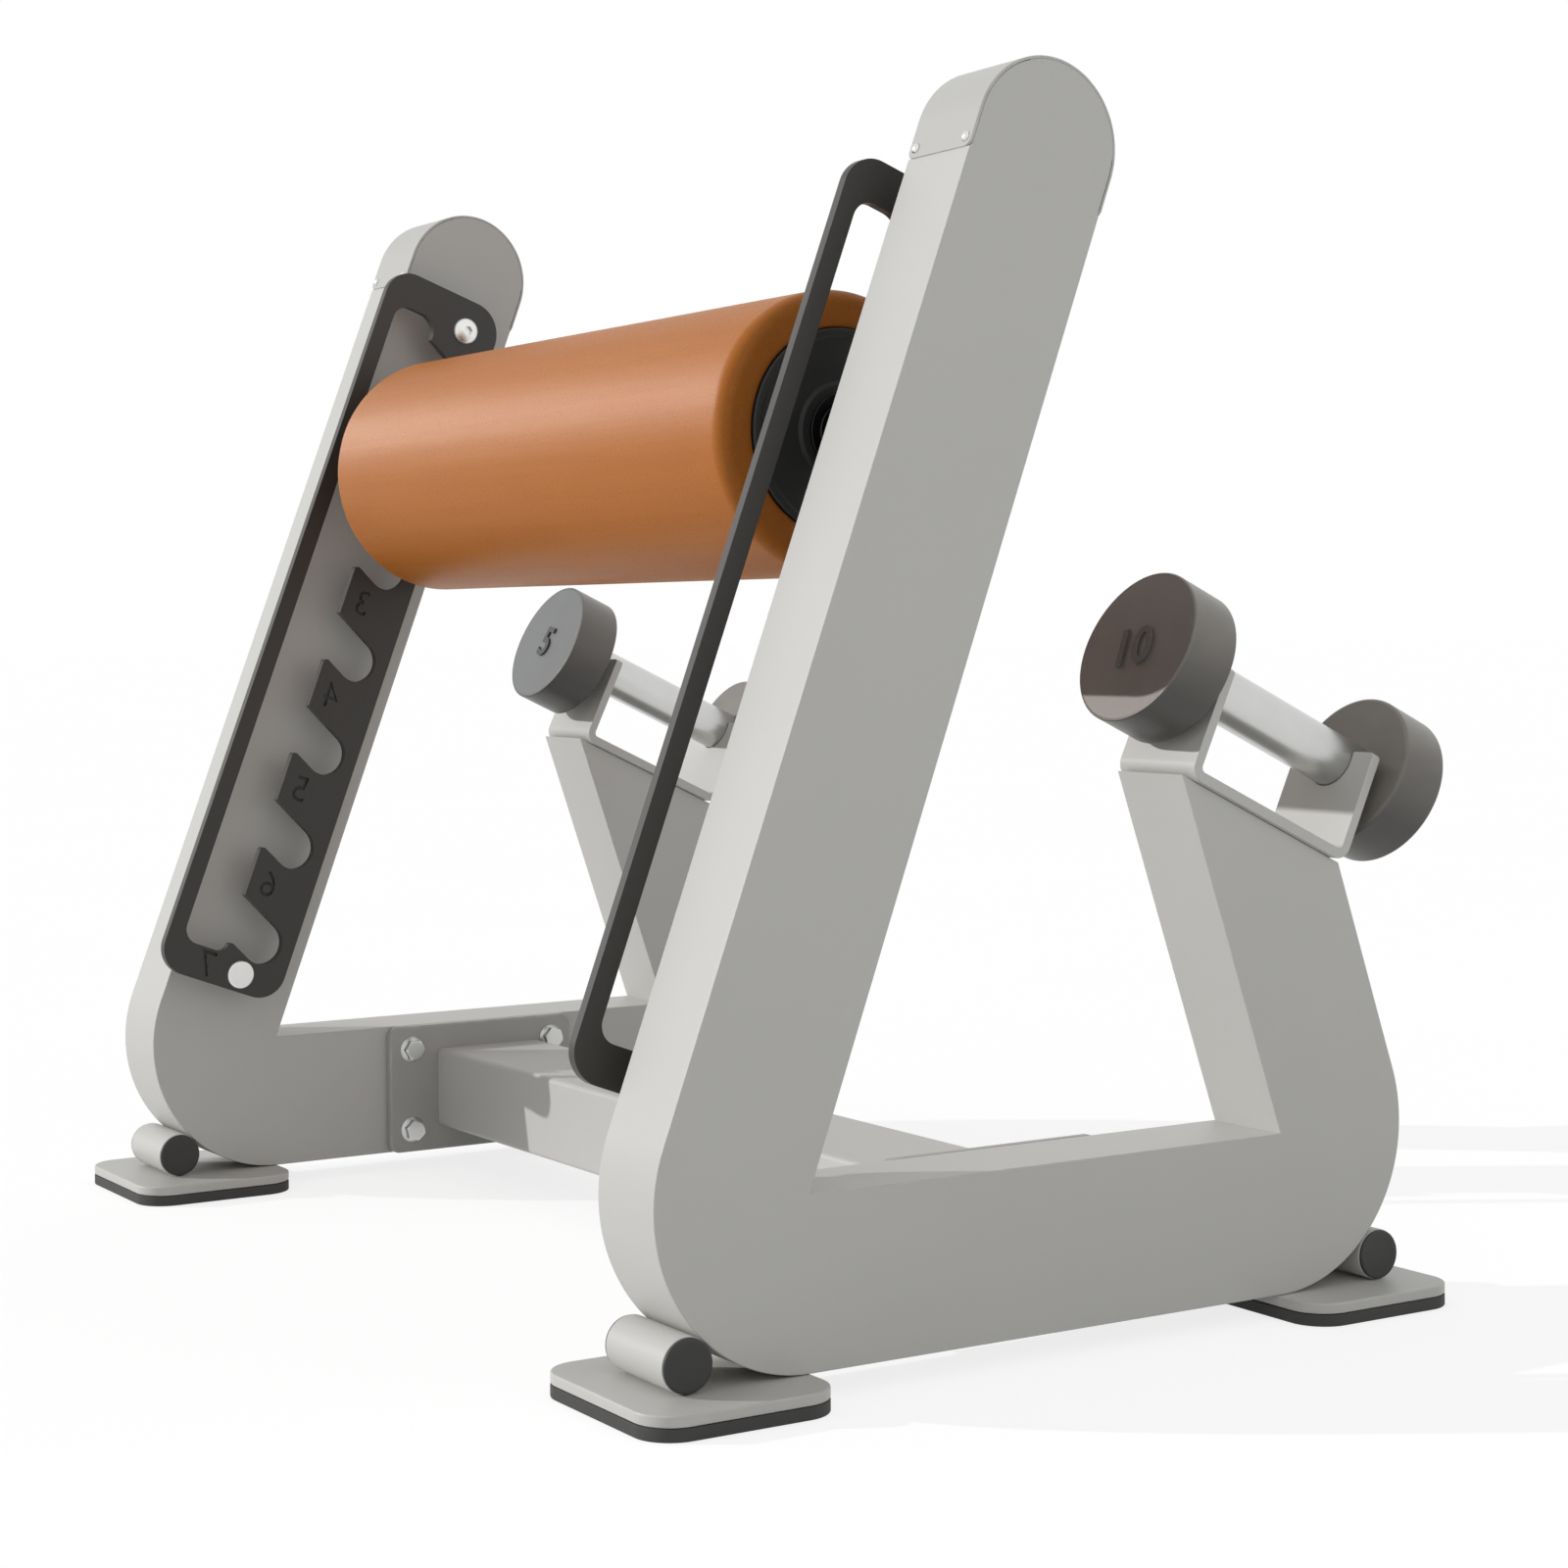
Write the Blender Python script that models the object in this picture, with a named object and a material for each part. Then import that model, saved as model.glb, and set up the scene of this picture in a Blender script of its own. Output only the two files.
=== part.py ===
"""Split squat stand: two leaning side frames joined by a beam, a roller in slotted racks, two dumbbell holders.

X runs across the stand, Y from its front to its rear and Z up. The floor is at Z = 0, and the origin lies under
the centre of the bounding box. Right is +X. Lengths are in metres and angles in degrees.
"""

import math

import bmesh
import bpy
from mathutils import Vector

GAP = 0.0003  # clearance between pieces that touch

# Side frames: a box section that turns two corners, seen from the side.
FRAME_SPREAD = 0.990  # outer face to outer face
SECTION_DEPTH = 0.075  # across X
SECTION_WIDTH = 0.120  # in the side view
SECTION_WALL = 0.003
BASE_SPAN = 0.4165  # front inner corner to rear inner corner
UPRIGHT_LEAN = 20.54
UPRIGHT_LENGTH = 0.7432  # inner corner to the centre of the round top
ARM_LEAN = 18.91
ARM_LENGTH = 0.2849  # inner corner to the front end of the sloping cut
CUT_TILT = 25.14  # the cut falls towards the rear
CORNER_STEPS = 10
TOP_STEPS = 16

# Facets around round pieces.
SMALL_ROUND = 12
TUBE_ROUND = 16
AXLE_ROUND = 28
HEAD_ROUND = 36
ROLLER_ROUND = 40
ROUND_STEPS = 2  # facets across a rounded edge

# Cap over the round top of each upright, let in for part of its thickness.
CAP_THICKNESS = 0.002
CAP_PROUD = 0.001
CAP_SKIRT = 0.030  # straight part below the round on each side
CAP_CORNER = 0.006
CAP_CORNER_STEPS = 3
RIVET_RADIUS = 0.0035
RIVET_HEIGHT = 0.002
RIVET_SETBACK = 0.0075  # from the end of the skirt
RIVET_SPACING = 0.060

# Feet: a steel sole on a rubber pad, with a round tube in the corner above.
SOLE_THICKNESS = 0.008
PAD_THICKNESS = 0.009
FOOT_LENGTH = 0.145
FOOT_CORNER = 0.028
FOOT_OVERHANG_INNER = 0.046
FOOT_OVERHANG_OUTER = 0.042
FRONT_FOOT_REACH = 0.144  # from the front inner corner forwards
REAR_FOOT_REACH = 0.141  # from the rear inner corner backwards
FOOT_TUBE_RADIUS = 0.019
FOOT_TUBE_WALL = 0.0025
PLUG_THICKNESS = 0.002
PLUG_STEM_LENGTH = 0.012

# Cross beam between two bolted flanges.
BEAM_DEPTH = 0.108  # along Y
BEAM_HEIGHT = 0.074
BEAM_WALL = 0.003
BEAM_CORNER = 0.003
BEAM_OFFSET = 0.007  # behind the middle of the base
FLANGE_THICKNESS = 0.009
FLANGE_LENGTH = 0.194
FLANGE_CORNER = 0.010
FLANGE_BOLT_SPACING_Y = 0.149
FLANGE_BOLT_SPACING_Z = 0.0765

# Fasteners.
BOLT_RADIUS = 0.006
BOLT_HOLE_CLEARANCE = 0.0003
BOLT_REACH = 0.004  # shank past the inside of the wall
HEX_ACROSS_FLATS = 0.018
HEX_HEIGHT = 0.0075
WASHER_RADIUS = 0.012
WASHER_THICKNESS = 0.0025
BUTTON_RADIUS = 0.0125
BUTTON_HEIGHT = 0.006
SOCKET_ACROSS_FLATS = 0.008
SOCKET_DEPTH = 0.0035

# Racks: slotted plates on bosses inside the uprights, measured along and across the upright.
RACK_THICKNESS = 0.008
RACK_STANDOFF = 0.0275
RACK_OVERHANG = 0.0284  # in front of the upright
RACK_WIDTH = 0.1221
RACK_BOTTOM = 0.0274  # above the front inner corner
RACK_DROP = 0.0285  # below the centre of the upright's round top
RACK_CORNER = 0.025
RACK_REAR_TOP_CORNER = 0.030
RACK_FRONT_STRIP = 0.0151
CHANNEL_WIDTH = 0.0438
CHANNEL_BOTTOM = 0.0302  # above the plate's lower end
CHANNEL_TOP = 0.0320  # below the plate's upper end
CHANNEL_FRONT_CORNER = 0.014
CHANNEL_REAR_TOP_CORNER = 0.017
CHANNEL_REAR_BOTTOM_CORNER = 0.008
NOTCH_COUNT = 7
NOTCH_DEPTH = 0.0315  # from the channel's rear side to the seat's centre
NOTCH_RISE = 25.6  # the notch climbs towards its mouth
NOTCH_CLEARANCE = 0.0004
LOWEST_SEAT = 0.0490  # above the plate's lower end
HIGHEST_SEAT = 0.0881  # below the plate's upper end
TOOTH_TIP_RADIUS = 0.0035
SEAT_STEPS = 10
BOSS_RADIUS = 0.010
LOWER_BOLT_HEIGHT = 0.0158  # above the plate's lower end
LOWER_BOLT_INSET = 0.0787  # behind the plate's front edge
UPPER_BOLT_DROP = 0.0297  # below the plate's upper end
UPPER_BOLT_INSET = 0.0887

# Roller on its axle, resting in one pair of notches.
ROLLER_SEAT = 6  # counted from the lowest notch
ROLLER_RADIUS = 0.106
ROLLER_END_SPACE = 0.045  # between the pad and each rack
ROLLER_RIM = 0.012
DISC_RADIUS = 0.077
DISC_THICKNESS = 0.009
DISC_PROUD = 0.0014
CORE_RADIUS = 0.040
CORE_WALL = 0.003
AXLE_RADIUS = 0.019
AXLE_WALL = 0.003
AXLE_OVERHANG = 0.010  # past the back of each rack
BEARING_RADIUS = 0.026
BEARING_WIDTH = 0.018
BEARING_FLANGE_RADIUS = 0.029
BEARING_FLANGE_THICKNESS = 0.0025
BEARING_CLEARANCE = 0.0003
COLLAR_RADIUS = 0.024
COLLAR_WIDTH = 0.010
COLLAR_CLEARANCE = 0.0005

# Dumbbell holders: bent sheet on the sloping cut of each arm, measured along and square to the cut.
SHEET_THICKNESS = 0.008
SHEET_BEND = 0.004  # inside radius
HOLDER_OVERHANG = 0.0055  # past the section on each side
HOLDER_SETBACK = 0.0028  # front flange behind the front end of the cut
HOLDER_LENGTH = 0.1657
HOLDER_HEIGHT = 0.0877
HOLDER_CORNER = 0.004
HANDLE_CLEARANCE = 0.0004
NOTCH_STEPS = 14

# Dumbbells.
HANDLE_RADIUS = 0.0206
HANDLE_HEIGHT = 0.0796  # axis above the cut
HANDLE_LENGTH = 0.1846  # between the heads
HEAD_RADIUS = 0.060
HEAD_THICKNESS = 0.0434
HEAD_EDGE = 0.003
RIGHT_DUMBBELL_SHIFT = 0.0  # along the handle, towards the rear
LEFT_DUMBBELL_SHIFT = -0.0055

# Values that follow from the sizes above.
SIDES = (("right", 1), ("left", -1))
FRAME_OUTER = FRAME_SPREAD / 2
FRAME_INNER = FRAME_OUTER - SECTION_DEPTH
FRAME_MIDDLE = FRAME_OUTER - SECTION_DEPTH / 2
SOLE_BOTTOM = PAD_THICKNESS + GAP
SOLE_TOP = SOLE_BOTTOM + SOLE_THICKNESS
BASE_BOTTOM = SOLE_TOP + GAP
BASE_TOP = BASE_BOTTOM + SECTION_WIDTH
LEAN = math.radians(UPRIGHT_LEAN)
ARM_ANGLE = math.radians(ARM_LEAN)
CUT_ANGLE = math.radians(CUT_TILT)
RACK_BACK = FRAME_INNER - RACK_STANDOFF
RACK_FACE = RACK_BACK - RACK_THICKNESS
RACK_TOP = UPRIGHT_LENGTH - RACK_DROP
NOTCH_PITCH = (RACK_TOP - RACK_BOTTOM - LOWEST_SEAT - HIGHEST_SEAT) / (NOTCH_COUNT - 1)
CHANNEL_FRONT = RACK_FRONT_STRIP - RACK_OVERHANG
CHANNEL_REAR = CHANNEL_FRONT + CHANNEL_WIDTH
SEAT_DISTANCE = CHANNEL_REAR + NOTCH_DEPTH
SEAT_RADIUS = AXLE_RADIUS + NOTCH_CLEARANCE
CAP_POCKET = CAP_THICKNESS + GAP - CAP_PROUD
CAP_RADIUS = SECTION_WIDTH / 2 + CAP_PROUD
CAP_LENGTH = 2 * CAP_SKIRT + CAP_RADIUS * math.pi
BOLT_HOLE_RADIUS = BOLT_RADIUS + BOLT_HOLE_CLEARANCE
HOLDER_MIDDLE = HOLDER_SETBACK + HOLDER_LENGTH / 2

# Colour, roughness and metallic value of each finish.
FRAME_PAINT = ((0.62, 0.61, 0.57), 0.45, 0.0)
RACK_PAINT = ((0.045, 0.040, 0.036), 0.50, 0.0)
PAD_RUBBER = ((0.040, 0.039, 0.037), 0.75, 0.0)
PLUG_PLASTIC = ((0.035, 0.034, 0.033), 0.60, 0.0)
DISC_PLASTIC = ((0.030, 0.029, 0.028), 0.55, 0.0)
ROLLER_COVER = ((0.50, 0.19, 0.055), 0.42, 0.0)
POLISHED_STEEL = ((0.78, 0.78, 0.77), 0.18, 1.0)
BRIGHT_STEEL = ((0.62, 0.62, 0.61), 0.32, 1.0)
TEN_HEAD = ((0.085, 0.076, 0.068), 0.38, 0.0)
FIVE_HEAD = ((0.18, 0.185, 0.185), 0.38, 0.0)


def clear_scene():
    """Remove every object that the scene holds."""
    for item in list(bpy.data.objects):
        bpy.data.objects.remove(item, do_unlink=True)


def add_empty(name, parent=None, location=(0.0, 0.0, 0.0), tilt=0.0):
    """Add an empty that other pieces hang from, turned by tilt about X."""
    empty = bpy.data.objects.new(name, None)
    bpy.context.scene.collection.objects.link(empty)
    empty.parent = parent
    empty.location = location
    empty.rotation_euler = (tilt, 0.0, 0.0)
    return empty


def add_material(name, finish):
    """Make one Principled material from a finish."""
    colour, roughness, metallic = finish
    material = bpy.data.materials.new(name)
    material.use_nodes = True
    shader = material.node_tree.nodes["Principled BSDF"]
    shader.inputs["Base Color"].default_value = (*colour, 1.0)
    shader.inputs["Roughness"].default_value = roughness
    shader.inputs["Metallic"].default_value = metallic
    return material


def add_piece(name, shape, finish, parent, location=(0.0, 0.0, 0.0)):
    """Turn a bmesh into a named object with outward faces and its own material."""
    bmesh.ops.recalc_face_normals(shape, faces=shape.faces)
    mesh = bpy.data.meshes.new(name)
    shape.to_mesh(mesh)
    shape.free()
    mesh.shade_smooth()
    mesh.set_sharp_from_angle(angle=math.radians(30.0))
    mesh.materials.append(add_material(name, finish))
    piece = bpy.data.objects.new(name, mesh)
    bpy.context.scene.collection.objects.link(piece)
    piece.parent = parent
    piece.location = location
    return piece


def combine(piece, shape, operation):
    """Add a Boolean modifier that works with a shape given in the piece's own coordinates."""
    bmesh.ops.recalc_face_normals(shape, faces=shape.faces)
    name = f"{piece.name}_{operation.lower()}"
    mesh = bpy.data.meshes.new(name)
    shape.to_mesh(mesh)
    shape.free()
    guide = bpy.data.objects.new(name, mesh)
    bpy.context.scene.collection.objects.link(guide)
    guide.parent = piece
    guide.hide_render = True
    guide.display_type = "WIRE"
    modifier = piece.modifiers.new(name, "BOOLEAN")
    modifier.operation = operation
    modifier.solver = "EXACT"
    modifier.object = guide


def cut(piece, shape):
    """Take a shape out of a piece."""
    combine(piece, shape, "DIFFERENCE")


def weld(piece, shape):
    """Weld a shape to a piece."""
    combine(piece, shape, "UNION")


def rounded(corners, step=math.radians(15.0)):
    """Return the outline through (a, b, radius) corners, with an arc wherever the radius isn't zero."""
    outline = []
    count = len(corners)
    for index, (a, b, radius) in enumerate(corners):
        corner = Vector((a, b))
        if radius <= 0.0:
            outline.append(corner)
            continue
        before = (Vector(corners[index - 1][:2]) - corner).normalized()
        after = (Vector(corners[(index + 1) % count][:2]) - corner).normalized()
        half = before.angle(after) / 2
        start = corner + before * (radius / math.tan(half))
        centre = corner + (before + after).normalized() * (radius / math.sin(half))
        sweep = math.pi - 2 * half
        spoke = start - centre
        turn = math.copysign(sweep, spoke.cross(corner - centre))
        steps = max(1, math.ceil(sweep / step))
        for number in range(steps + 1):
            angle = turn * number / steps
            outline.append(centre + turned(spoke, angle))
    return outline


def turned(vector, angle):
    """Turn a 2-D vector by an angle."""
    cosine, sine = math.cos(angle), math.sin(angle)
    return Vector((vector.x * cosine - vector.y * sine, vector.x * sine + vector.y * cosine))


def arc(centre, radius, start, end, steps):
    """Return points on an arc, with both ends."""
    points = []
    for number in range(steps + 1):
        angle = start + (end - start) * number / steps
        points.append(Vector(centre) + radius * Vector((math.cos(angle), math.sin(angle))))
    return points


def box(left, right, bottom, top):
    """Return the four corners of a rectangle."""
    return [(left, bottom), (right, bottom), (right, top), (left, top)]


def circle(centre, radius, steps):
    """Return the points of a full circle."""
    return arc(centre, radius, 0.0, 2 * math.pi, steps)[:-1]


def wall(shape, lower, upper):
    """Join two vertex loops of equal length with a band of faces."""
    for index in range(len(lower)):
        shape.faces.new((lower[index - 1], lower[index], upper[index], upper[index - 1]))


def ring(shape, outline, level, axis=0):
    """Add an outline's vertices at a level along an axis, in that axis's plane."""
    vertices = []
    for a, b in outline:
        point = [a, b]
        point.insert(axis, level)
        vertices.append(shape.verts.new(point))
    return vertices


def prism(outline, low, high, axis=0, shape=None):
    """Extrude an outline along an axis."""
    shape = shape or bmesh.new()
    lower = ring(shape, outline, low, axis)
    upper = ring(shape, outline, high, axis)
    shape.faces.new(lower)
    shape.faces.new(upper)
    wall(shape, lower, upper)
    return shape


def spun(profile, steps, axis=0, hollow=False, shape=None, centre=(0.0, 0.0, 0.0)):
    """Turn an (along, radius) profile about an axis; a hollow profile is a closed loop."""
    part = bmesh.new()
    vertices = [part.verts.new((along, radius, 0.0)) for along, radius in profile]
    edges = [part.edges.new(pair) for pair in zip(vertices, vertices[1:])]
    if hollow:
        edges.append(part.edges.new((vertices[-1], vertices[0])))
    bmesh.ops.spin(
        part,
        geom=vertices + edges,
        cent=(0.0, 0.0, 0.0),
        axis=(1.0, 0.0, 0.0),
        angle=2 * math.pi,
        steps=steps,
        use_merge=True,
    )
    bmesh.ops.remove_doubles(part, verts=part.verts, dist=1e-6)
    for vertex in part.verts:
        along, across, up = vertex.co
        point = (along, across, up) if axis == 0 else (-across, along, up)
        vertex.co = Vector(point) + Vector(centre)
    if shape is None:
        return part
    scratch = bpy.data.meshes.new("scratch")
    part.to_mesh(scratch)
    part.free()
    shape.from_mesh(scratch)
    bpy.data.meshes.remove(scratch)
    return shape


def edge_round(face, radius, edge, way):
    """Return a rounded edge from a round piece's end face to its side; the material lies that way of the face."""
    points = []
    for number in range(ROUND_STEPS + 1):
        angle = math.pi / 2 * number / ROUND_STEPS
        along = face + way * edge * (1 - math.cos(angle))
        points.append((along, radius - edge * (1 - math.sin(angle))))
    return points


def dome(radius, height, steps):
    """Return the profile of a low dome from its rim to its pole, starting at level 0."""
    points = [(0.0, radius)]
    for number in range(1, steps):
        angle = math.pi / 2 * number / steps
        points.append((height * math.sin(angle), radius * math.cos(angle)))
    points.append((height, 0.0))
    return points


def span(side, near, far):
    """Return a range of X on one side, lower end first."""
    return sorted((side * near, side * far))


def on_upright(distance, height):
    """Return the side-view point that lies a distance behind the upright's front and a height along it."""
    behind = Vector((math.cos(LEAN), -math.sin(LEAN)))
    along = Vector((math.sin(LEAN), math.cos(LEAN)))
    return Vector((0.0, BASE_TOP)) + behind * (distance - SECTION_WIDTH) + along * height


def on_cut(distance, height):
    """Return the side-view point that lies a distance down the arm's cut and a height square to it."""
    arm = Vector((-math.sin(ARM_ANGLE), math.cos(ARM_ANGLE)))
    start = Vector((BASE_SPAN, BASE_TOP)) + arm * ARM_LENGTH
    down = Vector((math.cos(CUT_ANGLE), -math.sin(CUT_ANGLE)))
    square = Vector((math.sin(CUT_ANGLE), math.cos(CUT_ANGLE)))
    return start + down * distance + square * height


def seat_height(number):
    """Return the height of a notch's seat along the upright, counted from the lowest notch."""
    return RACK_BOTTOM + LOWEST_SEAT + NOTCH_PITCH * (number - 1)


def flange_bolt_points():
    """Return the side-view centres of one flange's bolts."""
    middle = BASE_SPAN / 2
    level = BASE_BOTTOM + SECTION_WIDTH / 2
    return [
        Vector((middle + a * FLANGE_BOLT_SPACING_Y / 2, level + b * FLANGE_BOLT_SPACING_Z / 2))
        for a in (-1, 1)
        for b in (-1, 1)
    ]


def rack_bolt_points():
    """Return one rack's bolt centres, across and along the upright."""
    return [
        Vector((LOWER_BOLT_INSET - RACK_OVERHANG, RACK_BOTTOM + LOWER_BOLT_HEIGHT)),
        Vector((UPPER_BOLT_INSET - RACK_OVERHANG, RACK_TOP - UPPER_BOLT_DROP)),
    ]


def bolt_holes(points, low, high):
    """Return cutters for round bolt holes along X."""
    shape = bmesh.new()
    for point in points:
        prism(circle(point, BOLT_HOLE_RADIUS, SMALL_ROUND), low, high, shape=shape)
    return shape


def add_upright(label, side, parent):
    """Add one leaning upright: a box section with a rounded heel and a pocket for its cap."""
    middle = SECTION_WIDTH / 2
    inner = SECTION_WIDTH - SECTION_WALL
    step_height = UPRIGHT_LENGTH - CAP_SKIRT
    round_radius = middle - CAP_POCKET
    round_centre = (middle, UPRIGHT_LENGTH)
    corner = (SECTION_WIDTH, 0.0)
    heel_end = math.pi * 3 / 2 + LEAN
    outline = arc(corner, SECTION_WIDTH, math.pi, heel_end, CORNER_STEPS)
    outline += [corner, (SECTION_WIDTH, step_height), (SECTION_WIDTH - CAP_POCKET, step_height)]
    outline += arc(round_centre, round_radius, 0.0, math.pi, TOP_STEPS)
    outline += [(CAP_POCKET, step_height), (0.0, step_height)]
    low, high = span(side, FRAME_INNER, FRAME_OUTER)
    upright = add_piece(f"{label}_upright", prism(outline, low, high), FRAME_PAINT, parent)

    shoulder = step_height - SECTION_WALL
    hollow_radius = round_radius - SECTION_WALL
    mitre, mouth = inside_corner(LEAN)
    cavity = arc(corner, inner, math.pi, heel_end + SECTION_WALL / inner, CORNER_STEPS)
    cavity += [(SECTION_WIDTH + mouth.x, mouth.y), (inner, -mitre), (inner, shoulder)]
    cavity += [(middle + hollow_radius, shoulder)]
    cavity += arc(round_centre, hollow_radius, 0.0, math.pi, TOP_STEPS)
    cavity += [(middle - hollow_radius, shoulder), (SECTION_WALL, shoulder)]
    cut(upright, prism(cavity, low + SECTION_WALL, high - SECTION_WALL))
    before, past = span(side, FRAME_INNER - SECTION_WALL, FRAME_INNER + 2 * SECTION_WALL)
    cut(upright, bolt_holes(rack_bolt_points(), before, past))


def inside_corner(angle):
    """Return how far the cavity's mitre lies below a leaning tube's corner, and a point past its open end."""
    mitre = SECTION_WALL * (1 + math.sin(angle)) / math.cos(angle)
    across = SECTION_WALL * (math.cos(angle) + math.sin(angle))
    along = SECTION_WALL * (math.sin(angle) - math.cos(angle))
    return mitre, Vector((across, along))


def add_cap(label, side, parent):
    """Add the sheet cap that wraps the round top, with rounded corners and four rivet heads."""
    half = SECTION_DEPTH / 2
    stations = []
    for number in range(CAP_CORNER_STEPS + 1):
        angle = math.pi / 2 * number / CAP_CORNER_STEPS
        stations.append((CAP_CORNER * (1 - math.cos(angle)), half - CAP_CORNER * (1 - math.sin(angle))))
    rounding = list(stations)
    for number in range(TOP_STEPS + 1):
        stations.append((CAP_SKIRT + CAP_RADIUS * math.pi * number / TOP_STEPS, half))
    stations += [(CAP_LENGTH - along, width) for along, width in reversed(rounding)]

    shape = bmesh.new()
    rows = []
    for along, width in stations:
        point, outward = wrap(along)
        corners = []
        for across, depth in ((-width, 0.0), (width, 0.0), (width, CAP_THICKNESS), (-width, CAP_THICKNESS)):
            place = point - outward * depth
            corners.append(shape.verts.new((side * FRAME_MIDDLE + across, place.x, place.y)))
        rows.append(corners)
    for before, after in zip(rows, rows[1:]):
        wall(shape, before, after)
    shape.faces.new(rows[0])
    shape.faces.new(rows[-1])
    cap = add_piece(f"{label}_end_cap", shape, FRAME_PAINT, parent)

    rivets = bmesh.new()
    for along in (RIVET_SETBACK, CAP_LENGTH - RIVET_SETBACK):
        point, outward = wrap(along)
        for offset in (-RIVET_SPACING / 2, RIVET_SPACING / 2):
            profile = [(-CAP_THICKNESS / 2, 0.0), (-CAP_THICKNESS / 2, RIVET_RADIUS)]
            profile += dome(RIVET_RADIUS, RIVET_HEIGHT, 3)
            if outward.x < 0:
                profile = [(-rise, radius) for rise, radius in profile]
            centre = (side * FRAME_MIDDLE + offset, point.x, point.y)
            spun(profile, SMALL_ROUND, axis=1, shape=rivets, centre=centre)
    weld(cap, rivets)


def wrap(along):
    """Return the point and outward direction at a length along the cap's outer side, from its front end."""
    if along <= CAP_SKIRT:
        return Vector((-CAP_PROUD, UPRIGHT_LENGTH - CAP_SKIRT + along)), Vector((-1.0, 0.0))
    if along >= CAP_LENGTH - CAP_SKIRT:
        height = UPRIGHT_LENGTH - CAP_SKIRT + CAP_LENGTH - along
        return Vector((SECTION_WIDTH + CAP_PROUD, height)), Vector((1.0, 0.0))
    angle = math.pi - (along - CAP_SKIRT) / CAP_RADIUS
    outward = Vector((math.cos(angle), math.sin(angle)))
    return Vector((SECTION_WIDTH / 2, UPRIGHT_LENGTH)) + outward * CAP_RADIUS, outward


def add_base(label, side, parent):
    """Add the level base of one side frame, with the holes for its beam flange."""
    low, high = span(side, FRAME_INNER, FRAME_OUTER)
    shape = prism(box(low, high, BASE_BOTTOM, BASE_TOP), GAP, BASE_SPAN - GAP, axis=1)
    base = add_piece(f"{label}_base", shape, FRAME_PAINT, parent)
    left, right = low + SECTION_WALL, high - SECTION_WALL
    inside = box(left, right, BASE_BOTTOM + SECTION_WALL, BASE_TOP - SECTION_WALL)
    cut(base, prism(inside, -SECTION_WIDTH, BASE_SPAN + SECTION_WIDTH, axis=1))
    inner, past = span(side, FRAME_INNER - SECTION_WALL, FRAME_INNER + 2 * SECTION_WALL)
    cut(base, bolt_holes(flange_bolt_points(), inner, past))


def add_arm(label, side, parent):
    """Add the short arm that carries a dumbbell holder: a rounded heel below and a sloping cut above."""
    low, high = span(side, FRAME_INNER, FRAME_OUTER)
    slope = math.tan(ARM_ANGLE + CUT_ANGLE)
    inner = SECTION_WIDTH - SECTION_WALL
    heel_start = -math.pi / 2 - ARM_ANGLE
    outline = [(0.0, 0.0)] + arc((0.0, 0.0), SECTION_WIDTH, heel_start, 0.0, CORNER_STEPS)
    outline += [(SECTION_WIDTH, ARM_LENGTH - SECTION_WIDTH * slope), (0.0, ARM_LENGTH)]
    arm = add_piece(f"{label}_arm", prism(outline, low, high), FRAME_PAINT, parent)

    past = ARM_LENGTH + SECTION_WIDTH
    mitre, mouth = inside_corner(ARM_ANGLE)
    cavity = [(-mouth.x, mouth.y)]
    cavity += arc((0.0, 0.0), inner, heel_start - SECTION_WALL / inner, 0.0, CORNER_STEPS)
    cavity += [(inner, past), (SECTION_WALL, past), (SECTION_WALL, -mitre)]
    cut(arm, prism(cavity, low + SECTION_WALL, high - SECTION_WALL))


def add_foot(label, side, front, parent):
    """Add one foot: rubber pad, steel sole, round tube and the tube's two plugs."""
    if front:
        name, ends = f"{label}_front", (-FRONT_FOOT_REACH, FOOT_LENGTH - FRONT_FOOT_REACH)
    else:
        reach = BASE_SPAN + REAR_FOOT_REACH
        name, ends = f"{label}_rear", (reach - FOOT_LENGTH, reach)
    low, high = span(side, FRAME_INNER - FOOT_OVERHANG_INNER, FRAME_OUTER + FOOT_OVERHANG_OUTER)
    outline = rounded([(a, b, FOOT_CORNER) for a, b in box(low, high, *ends)])
    pad = prism(outline, 0.0, PAD_THICKNESS, axis=2)
    add_piece(f"{name}_foot_pad", pad, PAD_RUBBER, parent)
    sole = prism(outline, SOLE_BOTTOM, SOLE_TOP, axis=2)
    add_piece(f"{name}_foot_sole", sole, FRAME_PAINT, parent)

    level = SOLE_TOP + GAP + FOOT_TUBE_RADIUS
    reach = SECTION_WIDTH + GAP + FOOT_TUBE_RADIUS
    offset = math.sqrt(reach**2 - (BASE_TOP - level) ** 2)
    centre = (0.0, -offset if front else BASE_SPAN + offset, level)
    low, high = span(side, FRAME_INNER, FRAME_OUTER)
    bore = FOOT_TUBE_RADIUS - FOOT_TUBE_WALL
    profile = [(low, bore), (low, FOOT_TUBE_RADIUS), (high, FOOT_TUBE_RADIUS), (high, bore)]
    tube = spun(profile, TUBE_ROUND, hollow=True)
    add_piece(f"{name}_foot_tube", tube, FRAME_PAINT, parent, location=centre)

    stem = bore - GAP
    for place, end in (("inner", FRAME_INNER), ("outer", FRAME_OUTER)):
        way = -side if place == "inner" else side
        profile = plug_profile(side * end, way, stem, FOOT_TUBE_RADIUS)
        add_piece(f"{name}_{place}_plug", spun(profile, TUBE_ROUND), PLUG_PLASTIC, parent, location=centre)


def plug_profile(end, way, stem, rim):
    """Return the profile of a push-in plug at a tube's end, facing one way along the tube."""
    face, back, tip = end + way * (GAP + PLUG_THICKNESS), end + way * GAP, end - way * PLUG_STEM_LENGTH
    return [(face, 0.0), (face, rim), (back, rim), (back, stem), (tip, stem), (tip, 0.0)]


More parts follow.
